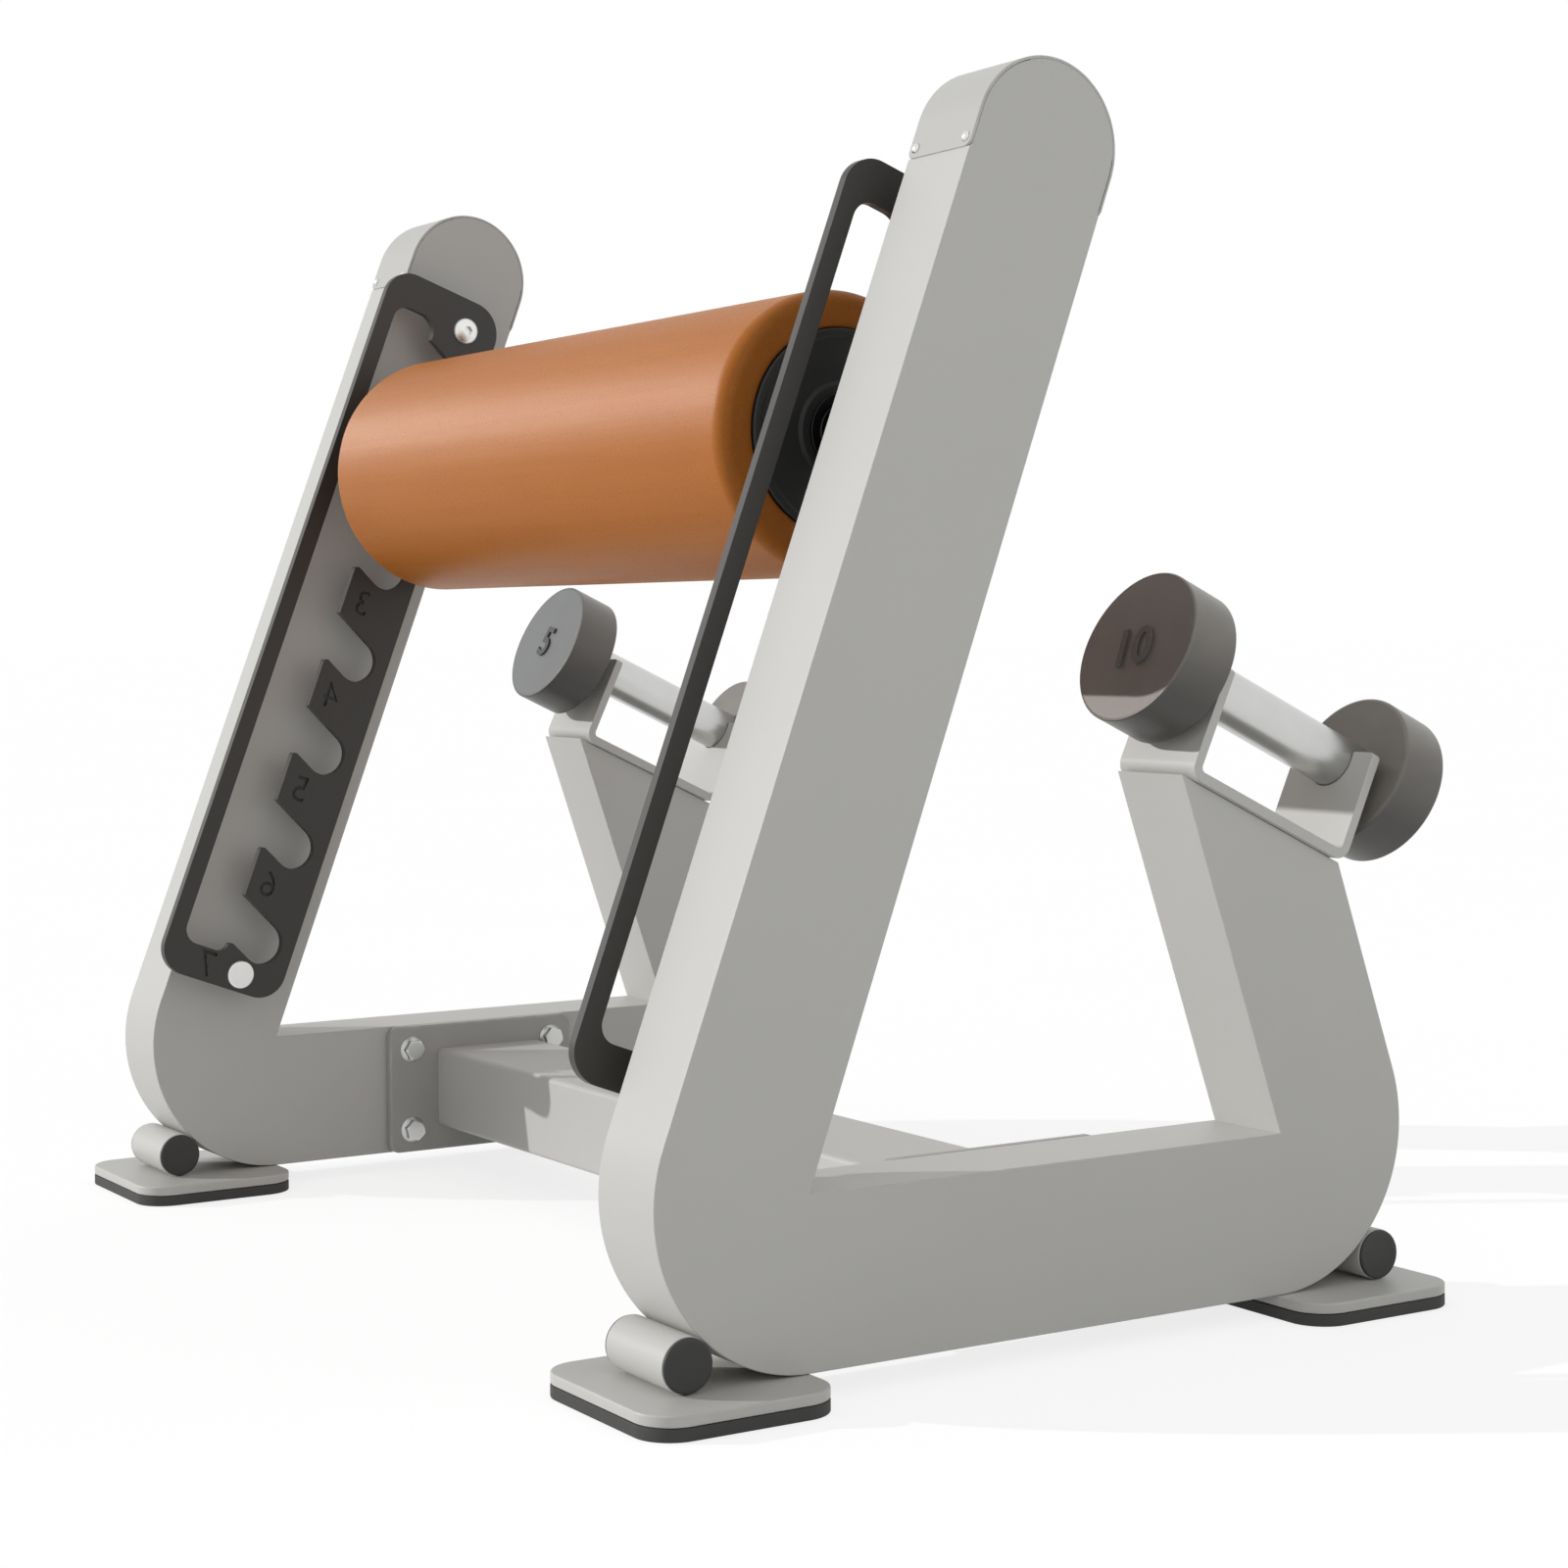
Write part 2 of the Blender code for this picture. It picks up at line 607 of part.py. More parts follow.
def add_flange(label, side, parent):
    """Add one beam flange with its flanged hex bolts."""
    low, high = span(side, FRAME_INNER - GAP - FLANGE_THICKNESS, FRAME_INNER - GAP)
    start, end = (BASE_SPAN - FLANGE_LENGTH) / 2, (BASE_SPAN + FLANGE_LENGTH) / 2
    outline = rounded([(a, b, FLANGE_CORNER) for a, b in box(start, end, BASE_BOTTOM, BASE_TOP)])
    flange = add_piece(f"{label}_beam_flange", prism(outline, low, high), FRAME_PAINT, parent)
    cut(flange, bolt_holes(flange_bolt_points(), low - FLANGE_THICKNESS, high + FLANGE_THICKNESS))

    seat = FRAME_INNER - FLANGE_THICKNESS - 2 * GAP
    tip = FRAME_INNER + SECTION_WALL + BOLT_REACH
    places = ("front_lower", "front_upper", "rear_lower", "rear_upper")
    hexagon = circle((0.0, 0.0), HEX_ACROSS_FLATS / math.sqrt(3), 6)
    head = seat - WASHER_THICKNESS - HEX_HEIGHT
    collar = seat - WASHER_THICKNESS
    profile = [(collar, 0.0), (collar, WASHER_RADIUS), (seat, WASHER_RADIUS)]
    profile += [(seat, BOLT_RADIUS), (tip, BOLT_RADIUS), (tip, 0.0)]
    profile = [(side * along, radius) for along, radius in profile]
    for place, point in zip(places, flange_bolt_points()):
        centre = (0.0, point.x, point.y)
        bolt = add_piece(f"{label}_{place}_bolt", spun(profile, SMALL_ROUND), POLISHED_STEEL, parent, location=centre)
        near, far = span(side, head, seat - WASHER_THICKNESS / 2)
        weld(bolt, prism(hexagon, near, far))


def add_beam(parent):
    """Add the hollow cross beam between the two flanges."""
    middle = BASE_SPAN / 2 + BEAM_OFFSET
    level = BASE_BOTTOM + SECTION_WIDTH / 2
    reach = FRAME_INNER - FLANGE_THICKNESS - 2 * GAP
    front, rear = middle - BEAM_DEPTH / 2, middle + BEAM_DEPTH / 2
    bottom, top = level - BEAM_HEIGHT / 2, level + BEAM_HEIGHT / 2
    outline = rounded([(a, b, BEAM_CORNER) for a, b in box(front, rear, bottom, top)])
    beam = add_piece("cross_beam", prism(outline, -reach, reach), FRAME_PAINT, parent)
    inside = box(front + BEAM_WALL, rear - BEAM_WALL, bottom + BEAM_WALL, top - BEAM_WALL)
    cut(beam, prism(inside, -FRAME_OUTER, FRAME_OUTER))


def rack_window():
    """Return the outline of the channel and its notches, across and along the upright."""
    rise = math.radians(NOTCH_RISE)
    mouth = Vector((-math.cos(rise), math.sin(rise)))
    upper_side = Vector((math.sin(rise), math.cos(rise)))
    low = RACK_BOTTOM + CHANNEL_BOTTOM
    high = RACK_TOP - CHANNEL_TOP
    corners = [(CHANNEL_FRONT, low, CHANNEL_FRONT_CORNER), (CHANNEL_REAR, low, CHANNEL_REAR_BOTTOM_CORNER)]
    for number in range(1, NOTCH_COUNT + 1):
        seat = Vector((SEAT_DISTANCE, seat_height(number)))
        under = seat - upper_side * SEAT_RADIUS
        over = seat + upper_side * SEAT_RADIUS
        tip = under + mouth * ((under.x - CHANNEL_REAR) / math.cos(rise))
        lip = over + mouth * ((over.x - CHANNEL_REAR) / math.cos(rise))
        corners.append((tip.x, tip.y, TOOTH_TIP_RADIUS))
        start = math.atan2(-upper_side.y, -upper_side.x)
        for point in arc(seat, SEAT_RADIUS, start, start + math.pi, SEAT_STEPS):
            corners.append((point.x, point.y, 0.0))
        corners.append((lip.x, lip.y, 0.0))
    corners.append((CHANNEL_REAR, high, CHANNEL_REAR_TOP_CORNER))
    corners.append((CHANNEL_FRONT, high, CHANNEL_FRONT_CORNER))
    return rounded(corners, math.radians(22.5))


def add_rack(label, side, parent):
    """Add one rack plate with its welded standoff bosses, and the button-head bolts that hold it."""
    front, rear = -RACK_OVERHANG, RACK_WIDTH - RACK_OVERHANG
    outline = rounded(
        [
            (front, RACK_BOTTOM, RACK_CORNER),
            (rear, RACK_BOTTOM, RACK_CORNER),
            (rear, RACK_TOP, RACK_REAR_TOP_CORNER),
            (front, RACK_TOP, RACK_CORNER),
        ]
    )
    low, high = span(side, RACK_FACE, RACK_BACK)
    rack = add_piece(f"{label}_rack", prism(outline, low, high), RACK_PAINT, parent)
    cut(rack, prism(rack_window(), low - RACK_THICKNESS, high + RACK_THICKNESS))
    low, high = span(side, RACK_BACK - RACK_THICKNESS / 2, FRAME_INNER - GAP)
    bosses = bmesh.new()
    for point in rack_bolt_points():
        prism(circle(point, BOSS_RADIUS, SMALL_ROUND), low, high, shape=bosses)
    weld(rack, bosses)
    low, high = span(side, RACK_FACE - RACK_THICKNESS, FRAME_INNER + RACK_THICKNESS)
    cut(rack, bolt_holes(rack_bolt_points(), low, high))

    tip = FRAME_INNER + SECTION_WALL + BOLT_REACH
    head = RACK_FACE - GAP
    for place, point in zip(("lower", "upper"), rack_bolt_points()):
        profile = [(tip, 0.0), (tip, BOLT_RADIUS), (head, BOLT_RADIUS)]
        profile += [(head - rise, radius) for rise, radius in dome(BUTTON_RADIUS, BUTTON_HEIGHT, 4)]
        bolt = spun([(side * along, radius) for along, radius in profile], TUBE_ROUND)
        centre = (0.0, point.x, point.y)
        bolt = add_piece(f"{label}_rack_{place}_bolt", bolt, POLISHED_STEEL, parent, location=centre)
        near, far = span(side, head - BUTTON_HEIGHT - SOCKET_DEPTH, head - BUTTON_HEIGHT + SOCKET_DEPTH)
        cut(bolt, prism(circle((0.0, 0.0), SOCKET_ACROSS_FLATS / math.sqrt(3), 6), near, far))


def add_roller(parent):
    """Add the roller and its axle, with their origins on the axle's centre line."""
    seat = on_upright(SEAT_DISTANCE, seat_height(ROLLER_SEAT))
    axis = add_empty("roller_axis", parent, (0.0, seat.x, seat.y))
    end = RACK_FACE - ROLLER_END_SPACE
    disc_face = end + DISC_PROUD
    disc_back = disc_face - DISC_THICKNESS
    ledge = disc_back - GAP
    counterbore = DISC_RADIUS + GAP
    bore = CORE_RADIUS + GAP

    half = [(ledge, bore), (ledge, counterbore), (end, counterbore)]
    half += edge_round(end, ROLLER_RADIUS, ROLLER_RIM, -1)
    profile = half + [(-along, radius) for along, radius in reversed(half)]
    add_piece("roller_pad", spun(profile, ROLLER_ROUND, hollow=True), ROLLER_COVER, axis)

    inside = CORE_RADIUS - CORE_WALL
    profile = [(-ledge, inside), (-ledge, CORE_RADIUS), (ledge, CORE_RADIUS), (ledge, inside)]
    add_piece("roller_core", spun(profile, TUBE_ROUND, hollow=True), BRIGHT_STEEL, axis)

    axle_hole = AXLE_RADIUS + BEARING_CLEARANCE
    for label, side in SIDES:
        hole = BEARING_RADIUS + GAP
        disc = [(disc_back, hole), (disc_back, DISC_RADIUS), (disc_face, DISC_RADIUS), (disc_face, hole)]
        disc = [(side * along, radius) for along, radius in disc]
        add_piece(f"{label}_roller_disc", spun(disc, ROLLER_ROUND, hollow=True), DISC_PLASTIC, axis)
        lip = disc_face + GAP
        rim = lip + BEARING_FLANGE_THICKNESS
        tail = rim - BEARING_WIDTH
        bearing = [(tail, axle_hole), (tail, BEARING_RADIUS), (lip, BEARING_RADIUS)]
        bearing += [(lip, BEARING_FLANGE_RADIUS), (rim, BEARING_FLANGE_RADIUS), (rim, axle_hole)]
        bearing = [(side * along, radius) for along, radius in bearing]
        add_piece(f"{label}_roller_bearing", spun(bearing, AXLE_ROUND, hollow=True), BRIGHT_STEEL, axis)

    reach = RACK_BACK + AXLE_OVERHANG
    bore = AXLE_RADIUS - AXLE_WALL
    face = RACK_FACE - COLLAR_CLEARANCE
    back = face - COLLAR_WIDTH
    half = [(back, AXLE_RADIUS), (back, COLLAR_RADIUS), (face, COLLAR_RADIUS), (face, AXLE_RADIUS)]
    half += [(reach, AXLE_RADIUS), (reach, bore)]
    profile = half + [(-along, radius) for along, radius in reversed(half)]
    add_piece("axle", spun(profile, AXLE_ROUND, hollow=True), BRIGHT_STEEL, axis)


def add_holder(label, side, parent):
    """Add the bent sheet holder on one arm, with a notch for the handle in each flange."""
    low, high = span(side, FRAME_INNER - HOLDER_OVERHANG, FRAME_OUTER + HOLDER_OVERHANG)
    start, end = HOLDER_SETBACK, HOLDER_SETBACK + HOLDER_LENGTH
    floor = GAP + SHEET_THICKNESS
    outside = SHEET_BEND + SHEET_THICKNESS
    outline = rounded(
        [
            (start, GAP, outside),
            (end, GAP, outside),
            (end, HOLDER_HEIGHT, 0.0),
            (end - SHEET_THICKNESS, HOLDER_HEIGHT, 0.0),
            (end - SHEET_THICKNESS, floor, SHEET_BEND),
            (start + SHEET_THICKNESS, floor, SHEET_BEND),
            (start + SHEET_THICKNESS, HOLDER_HEIGHT, 0.0),
            (start, HOLDER_HEIGHT, 0.0),
        ],
        math.radians(18.0),
    )
    shape = prism(outline, low, high)
    tops = []
    for edge in shape.edges:
        one, other = (vertex.co for vertex in edge.verts)
        level = min(one.z, other.z) > HOLDER_HEIGHT - GAP
        if level and abs(one.x - other.x) < GAP and abs(one.y - other.y) > GAP:
            tops.append(edge)
    bmesh.ops.bevel(shape, geom=tops, offset=HOLDER_CORNER, segments=3, profile=0.5, affect="EDGES")
    holder = add_piece(f"{label}_dumbbell_holder", shape, FRAME_PAINT, parent)

    radius = HANDLE_RADIUS + HANDLE_CLEARANCE
    middle = side * FRAME_MIDDLE
    notch = arc((middle, HANDLE_HEIGHT), radius, -math.pi, 0.0, NOTCH_STEPS)
    top = HOLDER_HEIGHT + SHEET_THICKNESS
    notch += [Vector((middle + radius, top)), Vector((middle - radius, top))]
    cut(holder, prism(notch, start - SHEET_THICKNESS, end + SHEET_THICKNESS, axis=1))


def add_dumbbell(label, side, shift, finish, parent):
    """Add one dumbbell: a handle between two heads, on an empty at its middle."""
    point = on_cut(HOLDER_MIDDLE + shift, HANDLE_HEIGHT)
    axis = add_empty(f"{label}_dumbbell_axis", parent, (side * FRAME_MIDDLE, point.x, point.y), -CUT_ANGLE)
    half = HANDLE_LENGTH / 2
    grip = half - GAP
    profile = [(-grip, 0.0), (-grip, HANDLE_RADIUS), (grip, HANDLE_RADIUS), (grip, 0.0)]
    add_piece(f"{label}_dumbbell_handle", spun(profile, AXLE_ROUND, axis=1), POLISHED_STEEL, axis)
    for name, way in (("front", -1), ("rear", 1)):
        profile = [(half, 0.0)] + edge_round(half, HEAD_RADIUS, HEAD_EDGE, 1)
        profile += reversed(edge_round(half + HEAD_THICKNESS, HEAD_RADIUS, HEAD_EDGE, -1))
        profile.append((half + HEAD_THICKNESS, 0.0))
        profile = [(way * along, radius) for along, radius in profile]
        add_piece(f"{label}_dumbbell_{name}_head", spun(profile, HEAD_ROUND, axis=1), finish, axis)


def centre_origin(root):
    """Slide the whole stand along Y so that the origin lies under the middle of its bounding box."""
    bpy.context.view_layer.update()
    levels = []
    for item in bpy.data.objects:
        if item.type == "MESH" and not item.hide_render:
            levels += [(item.matrix_world @ vertex.co).y for vertex in item.data.vertices]
    root.location.y = -(min(levels) + max(levels)) / 2


def main():
    """Build the stand."""
    clear_scene()
    root = add_empty("stand_origin")
    add_beam(root)
    front = add_empty("upright_frame", root, (0.0, *on_upright(0.0, 0.0)), -LEAN)
    rear = add_empty("arm_frame", root, (0.0, BASE_SPAN, BASE_TOP), ARM_ANGLE)
    seat = add_empty("holder_frame", root, (0.0, *on_cut(0.0, 0.0)), -CUT_ANGLE)
    for label, side in SIDES:
        add_upright(label, side, front)
        add_cap(label, side, front)
        add_rack(label, side, front)
        add_base(label, side, root)
        add_arm(label, side, rear)
        add_foot(label, side, True, root)
        add_foot(label, side, False, root)
        add_flange(label, side, root)
        add_holder(label, side, seat)
    add_roller(root)
    add_dumbbell("right", 1, RIGHT_DUMBBELL_SHIFT, TEN_HEAD, root)
    add_dumbbell("left", -1, LEFT_DUMBBELL_SHIFT, FIVE_HEAD, root)
    centre_origin(root)


main()
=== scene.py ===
"""Split squat stand: every visible piece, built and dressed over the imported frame.

X runs across the stand, Y from its front to its rear and Z up.
Lengths are in metres and angles in degrees.
"""

import logging
import math
from collections.abc import Iterable, Sequence
from dataclasses import dataclass
from enum import Enum

import bmesh
import bpy
from mathutils import Matrix, Vector, noise


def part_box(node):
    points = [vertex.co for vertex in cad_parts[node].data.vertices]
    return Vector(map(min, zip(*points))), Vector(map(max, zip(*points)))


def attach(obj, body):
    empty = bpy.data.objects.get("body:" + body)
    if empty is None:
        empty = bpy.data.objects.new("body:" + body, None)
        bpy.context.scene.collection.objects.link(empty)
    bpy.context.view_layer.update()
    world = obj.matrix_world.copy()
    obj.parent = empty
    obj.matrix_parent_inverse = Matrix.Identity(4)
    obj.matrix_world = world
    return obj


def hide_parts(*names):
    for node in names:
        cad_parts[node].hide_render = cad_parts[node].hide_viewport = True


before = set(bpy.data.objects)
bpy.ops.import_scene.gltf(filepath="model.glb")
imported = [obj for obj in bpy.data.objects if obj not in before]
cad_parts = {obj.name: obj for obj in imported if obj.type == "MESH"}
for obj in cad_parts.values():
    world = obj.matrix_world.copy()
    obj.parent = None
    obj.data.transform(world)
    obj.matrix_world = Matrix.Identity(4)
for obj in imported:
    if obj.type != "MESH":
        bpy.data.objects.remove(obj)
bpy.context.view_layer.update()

LOG = logging.getLogger("stand")
AXLE_NOTCH = 6  # the notch that the axle lies in, counted from the lowest
FINEST = 1e-7  # a length below this counts as nothing

# What a face's edge attribute tells the paint on it: -1 paints shade on an engraving's floor,
# 0 leaves plain paint, 1 marks edge wear, and 3 paints a highlight on engraved walls and
# on the cap sheet's side faces.
SHADED_FLOOR, FLAT, RUBBED, LIT_WALL = -1.0, 0.0, 1.0, 3.0

Colour = tuple[float, float, float]
Corner = tuple[float, float, float]
Shape = bmesh.types.BMesh


class Side(Enum):
    """The two sides of the stand, with the sign of X on each."""

    RIGHT = 1
    LEFT = -1

    @property
    def label(self) -> str:
        """Return the side's name as the nodes write it."""
        return self.name.lower()

    def span(self, near: float, far: float) -> tuple[float, float]:
        """Return a range of X on this side, lower end first."""
        low, high = sorted((self.value * near, self.value * far))
        return low, high


class End(Enum):
    """The front and rear ends of a side frame or dumbbell, with the sign of Y."""

    FRONT = -1
    REAR = 1

    @property
    def label(self) -> str:
        """Return the end's name as the nodes write it."""
        return self.name.lower()


class Body(Enum):
    """The moving bodies of the stand."""

    STAND = "stand"
    AXLE = "axle"
    ROLLER = "roller"
    RIGHT_DUMBBELL = "right_dumbbell"
    LEFT_DUMBBELL = "left_dumbbell"


class Axis(Enum):
    """The axis that an outline is extruded along."""

    X = 0
    Y = 1
    Z = 2


class Wiring:
    """A node tree whose nodes are added with their settings and socket values."""

    def __init__(self, tree: bpy.types.NodeTree) -> None:
        """Keep the tree that nodes are added to.

        Args:
            tree: the node tree of a material, world or modifier.
        """
        self.tree = tree

    def node(
        self, kind: str, settings: dict | None = None, inputs: dict | None = None
    ) -> bpy.types.Node:
        """Add one node.

        Args:
            kind: the node's type name.
            settings: its properties, set first; stops fills a colour ramp.
            inputs: values or links by socket name or number.

        Returns:
            The new node.
        """
        added = self.tree.nodes.new(kind)
        for key, value in (settings or {}).items():
            if key == "stops":
                self._fill_ramp(added.color_ramp, value)
            else:
                setattr(added, key, value)
        for key, value in (inputs or {}).items():
            self.feed(added.inputs[key], value)
        return added

    def feed(self, socket: bpy.types.NodeSocket, value: object) -> None:
        """Link a socket or give it a value.

        Args:
            socket: the input that is fed.
            value: a Value, a socket, or a plain value.
        """
        if isinstance(value, Value):
            self.tree.links.new(value.socket, socket)
        elif isinstance(value, bpy.types.NodeSocket):
            self.tree.links.new(value, socket)
        else:
            socket.default_value = value

    def _fill_ramp(self, ramp: bpy.types.ColorRamp, stops: Sequence[tuple[float, float]]) -> None:
        """Set a grey ramp's stops.

        Args:
            ramp: the colour ramp.
            stops: position and grey level of each stop.
        """
        while len(ramp.elements) < len(stops):
            ramp.elements.new(1.0)
        for element, (position, level) in zip(ramp.elements, stops):
            element.position = position
            element.color = (level, level, level, 1.0)


class Value:
    """A socket that carries one number and takes part in arithmetic."""

    def __init__(self, wiring: Wiring, socket: bpy.types.NodeSocket) -> None:
        """Wrap a socket.

        Args:
            wiring: the tree that the socket belongs to.
            socket: the output that carries the number.
        """
        self.wiring = wiring
        self.socket = socket

    def _math(self, operation: str, first: object, second: object, clamp: bool = False) -> "Value":
        """Add one Math node on two values.

        Args:
            operation: what it works out.
            first: the first value.
            second: the second value.
            clamp: whether the result is held between 0 and 1.

        Returns:
            The result.
        """
        settings = {"operation": operation, "use_clamp": clamp}
        added = self.wiring.node("ShaderNodeMath", settings, {0: first, 1: second})
        return Value(self.wiring, added.outputs[0])

    def __add__(self, other: object) -> "Value":
        """Return self + other."""
        return self._math("ADD", self, other)

    __radd__ = __add__

    def __sub__(self, other: object) -> "Value":
        """Return self - other."""
        return self._math("SUBTRACT", self, other)

    def __rsub__(self, other: object) -> "Value":
        """Return other - self."""
        return self._math("SUBTRACT", other, self)

    def __mul__(self, other: object) -> "Value":
        """Return self * other."""
        return self._math("MULTIPLY", self, other)

    def clamped(self) -> "Value":
        """Return the value held between 0 and 1."""
        return self._math("ADD", self, 0.0, clamp=True)

    def sine(self) -> "Value":
        """Return the value's sine."""
        return self._math("SINE", self, 0.0)

    def above(self, level: float, width: float) -> "Value":
        """Return a soft mask of where the value is above a level.

        Args:
            level: where the mask starts.
            width: how far above the level it is full.

        Returns:
            The mask, from 0 to 1.
        """
        return ((self - level) * (1.0 / width)).clamped()


class Recipe(Wiring):
    """The node tree of one finish, around a Principled shader."""

    def __init__(self, name: str) -> None:
        """Start a material.

        Args:
            name: the material's name.
        """
        self.material = bpy.data.materials.new(name)
        self.material.use_nodes = True
        super().__init__(self.material.node_tree)
        self.tree.nodes.clear()
        self.shader = self.node("ShaderNodeBsdfPrincipled")
        self.node("ShaderNodeOutputMaterial", inputs={"Surface": self.shader.outputs[0]})
        self.place = self.node("ShaderNodeTexCoord").outputs["Object"]

    def noise(self, scale: float | Corner, detail: float = 2.0, place: object = None) -> Value:
        """Add a noise pattern.

        Args:
            scale: cells per metre, one number or one for each axis.
            detail: how many finer layers it has.
            place: the coordinates, or None for the piece's own.

        Returns:
            The noise, around 0.5.
        """
        steps = scale if isinstance(scale, tuple) else (scale, scale, scale)
        inputs = {"Vector": place or self.place, "Scale": steps}
        mapped = self.node("ShaderNodeMapping", inputs=inputs).outputs[0]
        inputs = {"Vector": mapped, "Scale": 1.0, "Detail": detail}
        return Value(self, self.node("ShaderNodeTexNoise", inputs=inputs).outputs[0])

    def cells(self, scale: float) -> Value:
        """Add a cell pattern.

        Args:
            scale: cells per metre.

        Returns:
            The distance to a cell's edge, in cell widths.
        """
        inputs = {"Vector": self.place, "Scale": scale}
        pattern = self.node("ShaderNodeTexVoronoi", {"feature": "DISTANCE_TO_EDGE"}, inputs)
        return Value(self, pattern.outputs["Distance"])

    def attribute(self, name: str) -> Value:
        """Return a number stored on the mesh."""
        stored = self.node("ShaderNodeAttribute", {"attribute_name": name})
        return Value(self, stored.outputs["Fac"])

    def local(self) -> bpy.types.NodeSocket:
        """Return the coordinates that the piece was turned in, stored on its mesh."""
        return self.node("ShaderNodeAttribute", {"attribute_name": "local"}).outputs["Vector"]

    def upward(self) -> Value:
        """Return how far the surface looks up, from -1 to 1."""
        inputs = {"Vector": self.node("ShaderNodeNewGeometry").outputs["Normal"]}
        return Value(self, self.node("ShaderNodeSeparateXYZ", inputs=inputs).outputs["Z"])

    def reach(self, axes: Corner) -> Value:
        """Return the length of the piece's turned coordinates along some of its axes.

        Args:
            axes: 1 for each axis that counts and 0 for the others; X is the turning axis.

        Returns:
            The length.
        """
        inputs = {0: self.local(), 1: axes}
        kept = self.node("ShaderNodeVectorMath", {"operation": "MULTIPLY"}, inputs)
        length = self.node("ShaderNodeVectorMath", {"operation": "LENGTH"}, {0: kept.outputs[0]})
        return Value(self, length.outputs["Value"])

    def mix(self, factor: Value, low: object, high: object) -> bpy.types.NodeSocket:
        """Mix two colours.

        Args:
            factor: 0 for the first colour, 1 for the second.
            low: a colour or colour socket.
            high: a colour or colour socket.

        Returns:
            The mixed colour's socket.
        """
        ends = [(*end, 1.0) if isinstance(end, tuple) else end for end in (low, high)]
        inputs = {0: factor, 6: ends[0], 7: ends[1]}
        return self.node("ShaderNodeMix", {"data_type": "RGBA"}, inputs).outputs[2]

    def tones(self, factor: Value, colour: Colour, low: float, high: float) -> bpy.types.NodeSocket:
        """Return a mix of two tones of one colour."""
        return self.mix(factor, shade(colour, low), shade(colour, high))

    def bump(
        self, height: Value, depth: float, under: bpy.types.NodeSocket | None = None
    ) -> bpy.types.NodeSocket:
        """Add relief.

        Args:
            height: the relief from 0 to 1.
            depth: its depth in metres.
            under: the normal that it is laid on.

        Returns:
            The normal's socket.
        """
        inputs = {"Height": height, "Distance": depth, "Strength": 1.0}
        if under is not None:
            inputs["Normal"] = under
        return self.node("ShaderNodeBump", inputs=inputs).outputs[0]

    def finish(self, **sockets: object) -> bpy.types.Material:
        """Feed the shader and return the material.

        Args:
            **sockets: the shader's inputs, with _ for a space.

        Returns:
            The finished material.
        """
        for key, value in sockets.items():
            if isinstance(value, tuple):
                value = (*value, 1.0)
            self.feed(self.shader.inputs[key.replace("_", " ")], value)
        return self.material


def shade(colour: Colour, factor: float) -> Colour:
    """Return a colour made lighter or darker by a factor."""
    return tuple(min(1.0, channel * factor) for channel in colour)


@dataclass(frozen=True)
class PowderCoat:
    """Baked powder paint on steel: orange peel, mottling, edge wear, painted shade and painted
    highlights.
    """

    name: str
    slot: str
    colour: Colour
    # Light colour of edge wear, also laid on as a painted highlight.
    rubbed: Colour
    roughness: float
    rub: float = 0.5
    peel: float = 620.0
    # How dark the painted shade on engraving floors is.
    sunk_tone: float = 0.15

    def material(self) -> bpy.types.Material:
        """Mix the paint.

        Returns:
            Its material.
        """
        recipe = Recipe(self.name)
        mottle = recipe.noise(7.0, 3.0)
        peel = recipe.noise(self.peel, 2.0)
        grit = recipe.noise(2600.0, 1.0)
        scuff = recipe.noise(70.0, 4.0).above(0.42, 0.25)
        edge = recipe.attribute("edge")
        # Edge wear where the edge attribute is 1; at 3 the light colour fills in as a painted
        # highlight.
        wear_and_highlight = (edge * scuff * self.rub).clamped()
        # Painted shade: the floors of engravings are darkened.
        engraving_shade = (edge * SHADED_FLOOR).clamped()
        painted = recipe.mix(wear_and_highlight, recipe.tones(mottle, self.colour, 0.97, 1.03), self.rubbed)
        return recipe.finish(
            Base_Color=recipe.mix(engraving_shade, painted, shade(self.colour, self.sunk_tone)),
            Roughness=self.roughness + (mottle - 0.5) * 0.10 + (grit - 0.5) * 0.06 - wear_and_highlight * 0.10,
            Normal=recipe.bump(grit, 0.000006, recipe.bump(peel, 0.00003)),
        )


@dataclass(frozen=True)
class Leather:
    """Stretched upholstery leather: pebbled grain, pores and faint streaks along the roller."""

    name: str
    slot: str
    light: Colour
    dark: Colour
    roughness: float
    gloss: float

    def material(self) -> bpy.types.Material:
        """Mix the leather.

        Returns:
            Its material.
        """
        recipe = Recipe(self.name)
        recipe.finish(Specular_IOR_Level=self.gloss)
        streak = recipe.noise((4.0, 130.0, 130.0), 3.0)
        cloud = recipe.noise(9.0, 2.0)
        grain = recipe.cells(430.0)
        crease = 1.0 - grain.above(0.02, 0.14)
        pores = recipe.noise(1500.0, 1.0)
        tone = (streak * 0.7 + cloud * 0.5 - 0.1).clamped()
        body = recipe.mix(tone, self.dark, self.light)
        relief = recipe.bump(1.0 - crease, 0.00004, recipe.bump(streak, 0.00010))
        return recipe.finish(
            Base_Color=recipe.mix(crease * 0.22, body, shade(self.dark, 0.7)),
            Roughness=self.roughness + crease * 0.10 + (pores - 0.5) * 0.10 + (cloud - 0.5) * 0.06,
            Normal=recipe.bump(pores, 0.000012, relief),
        )


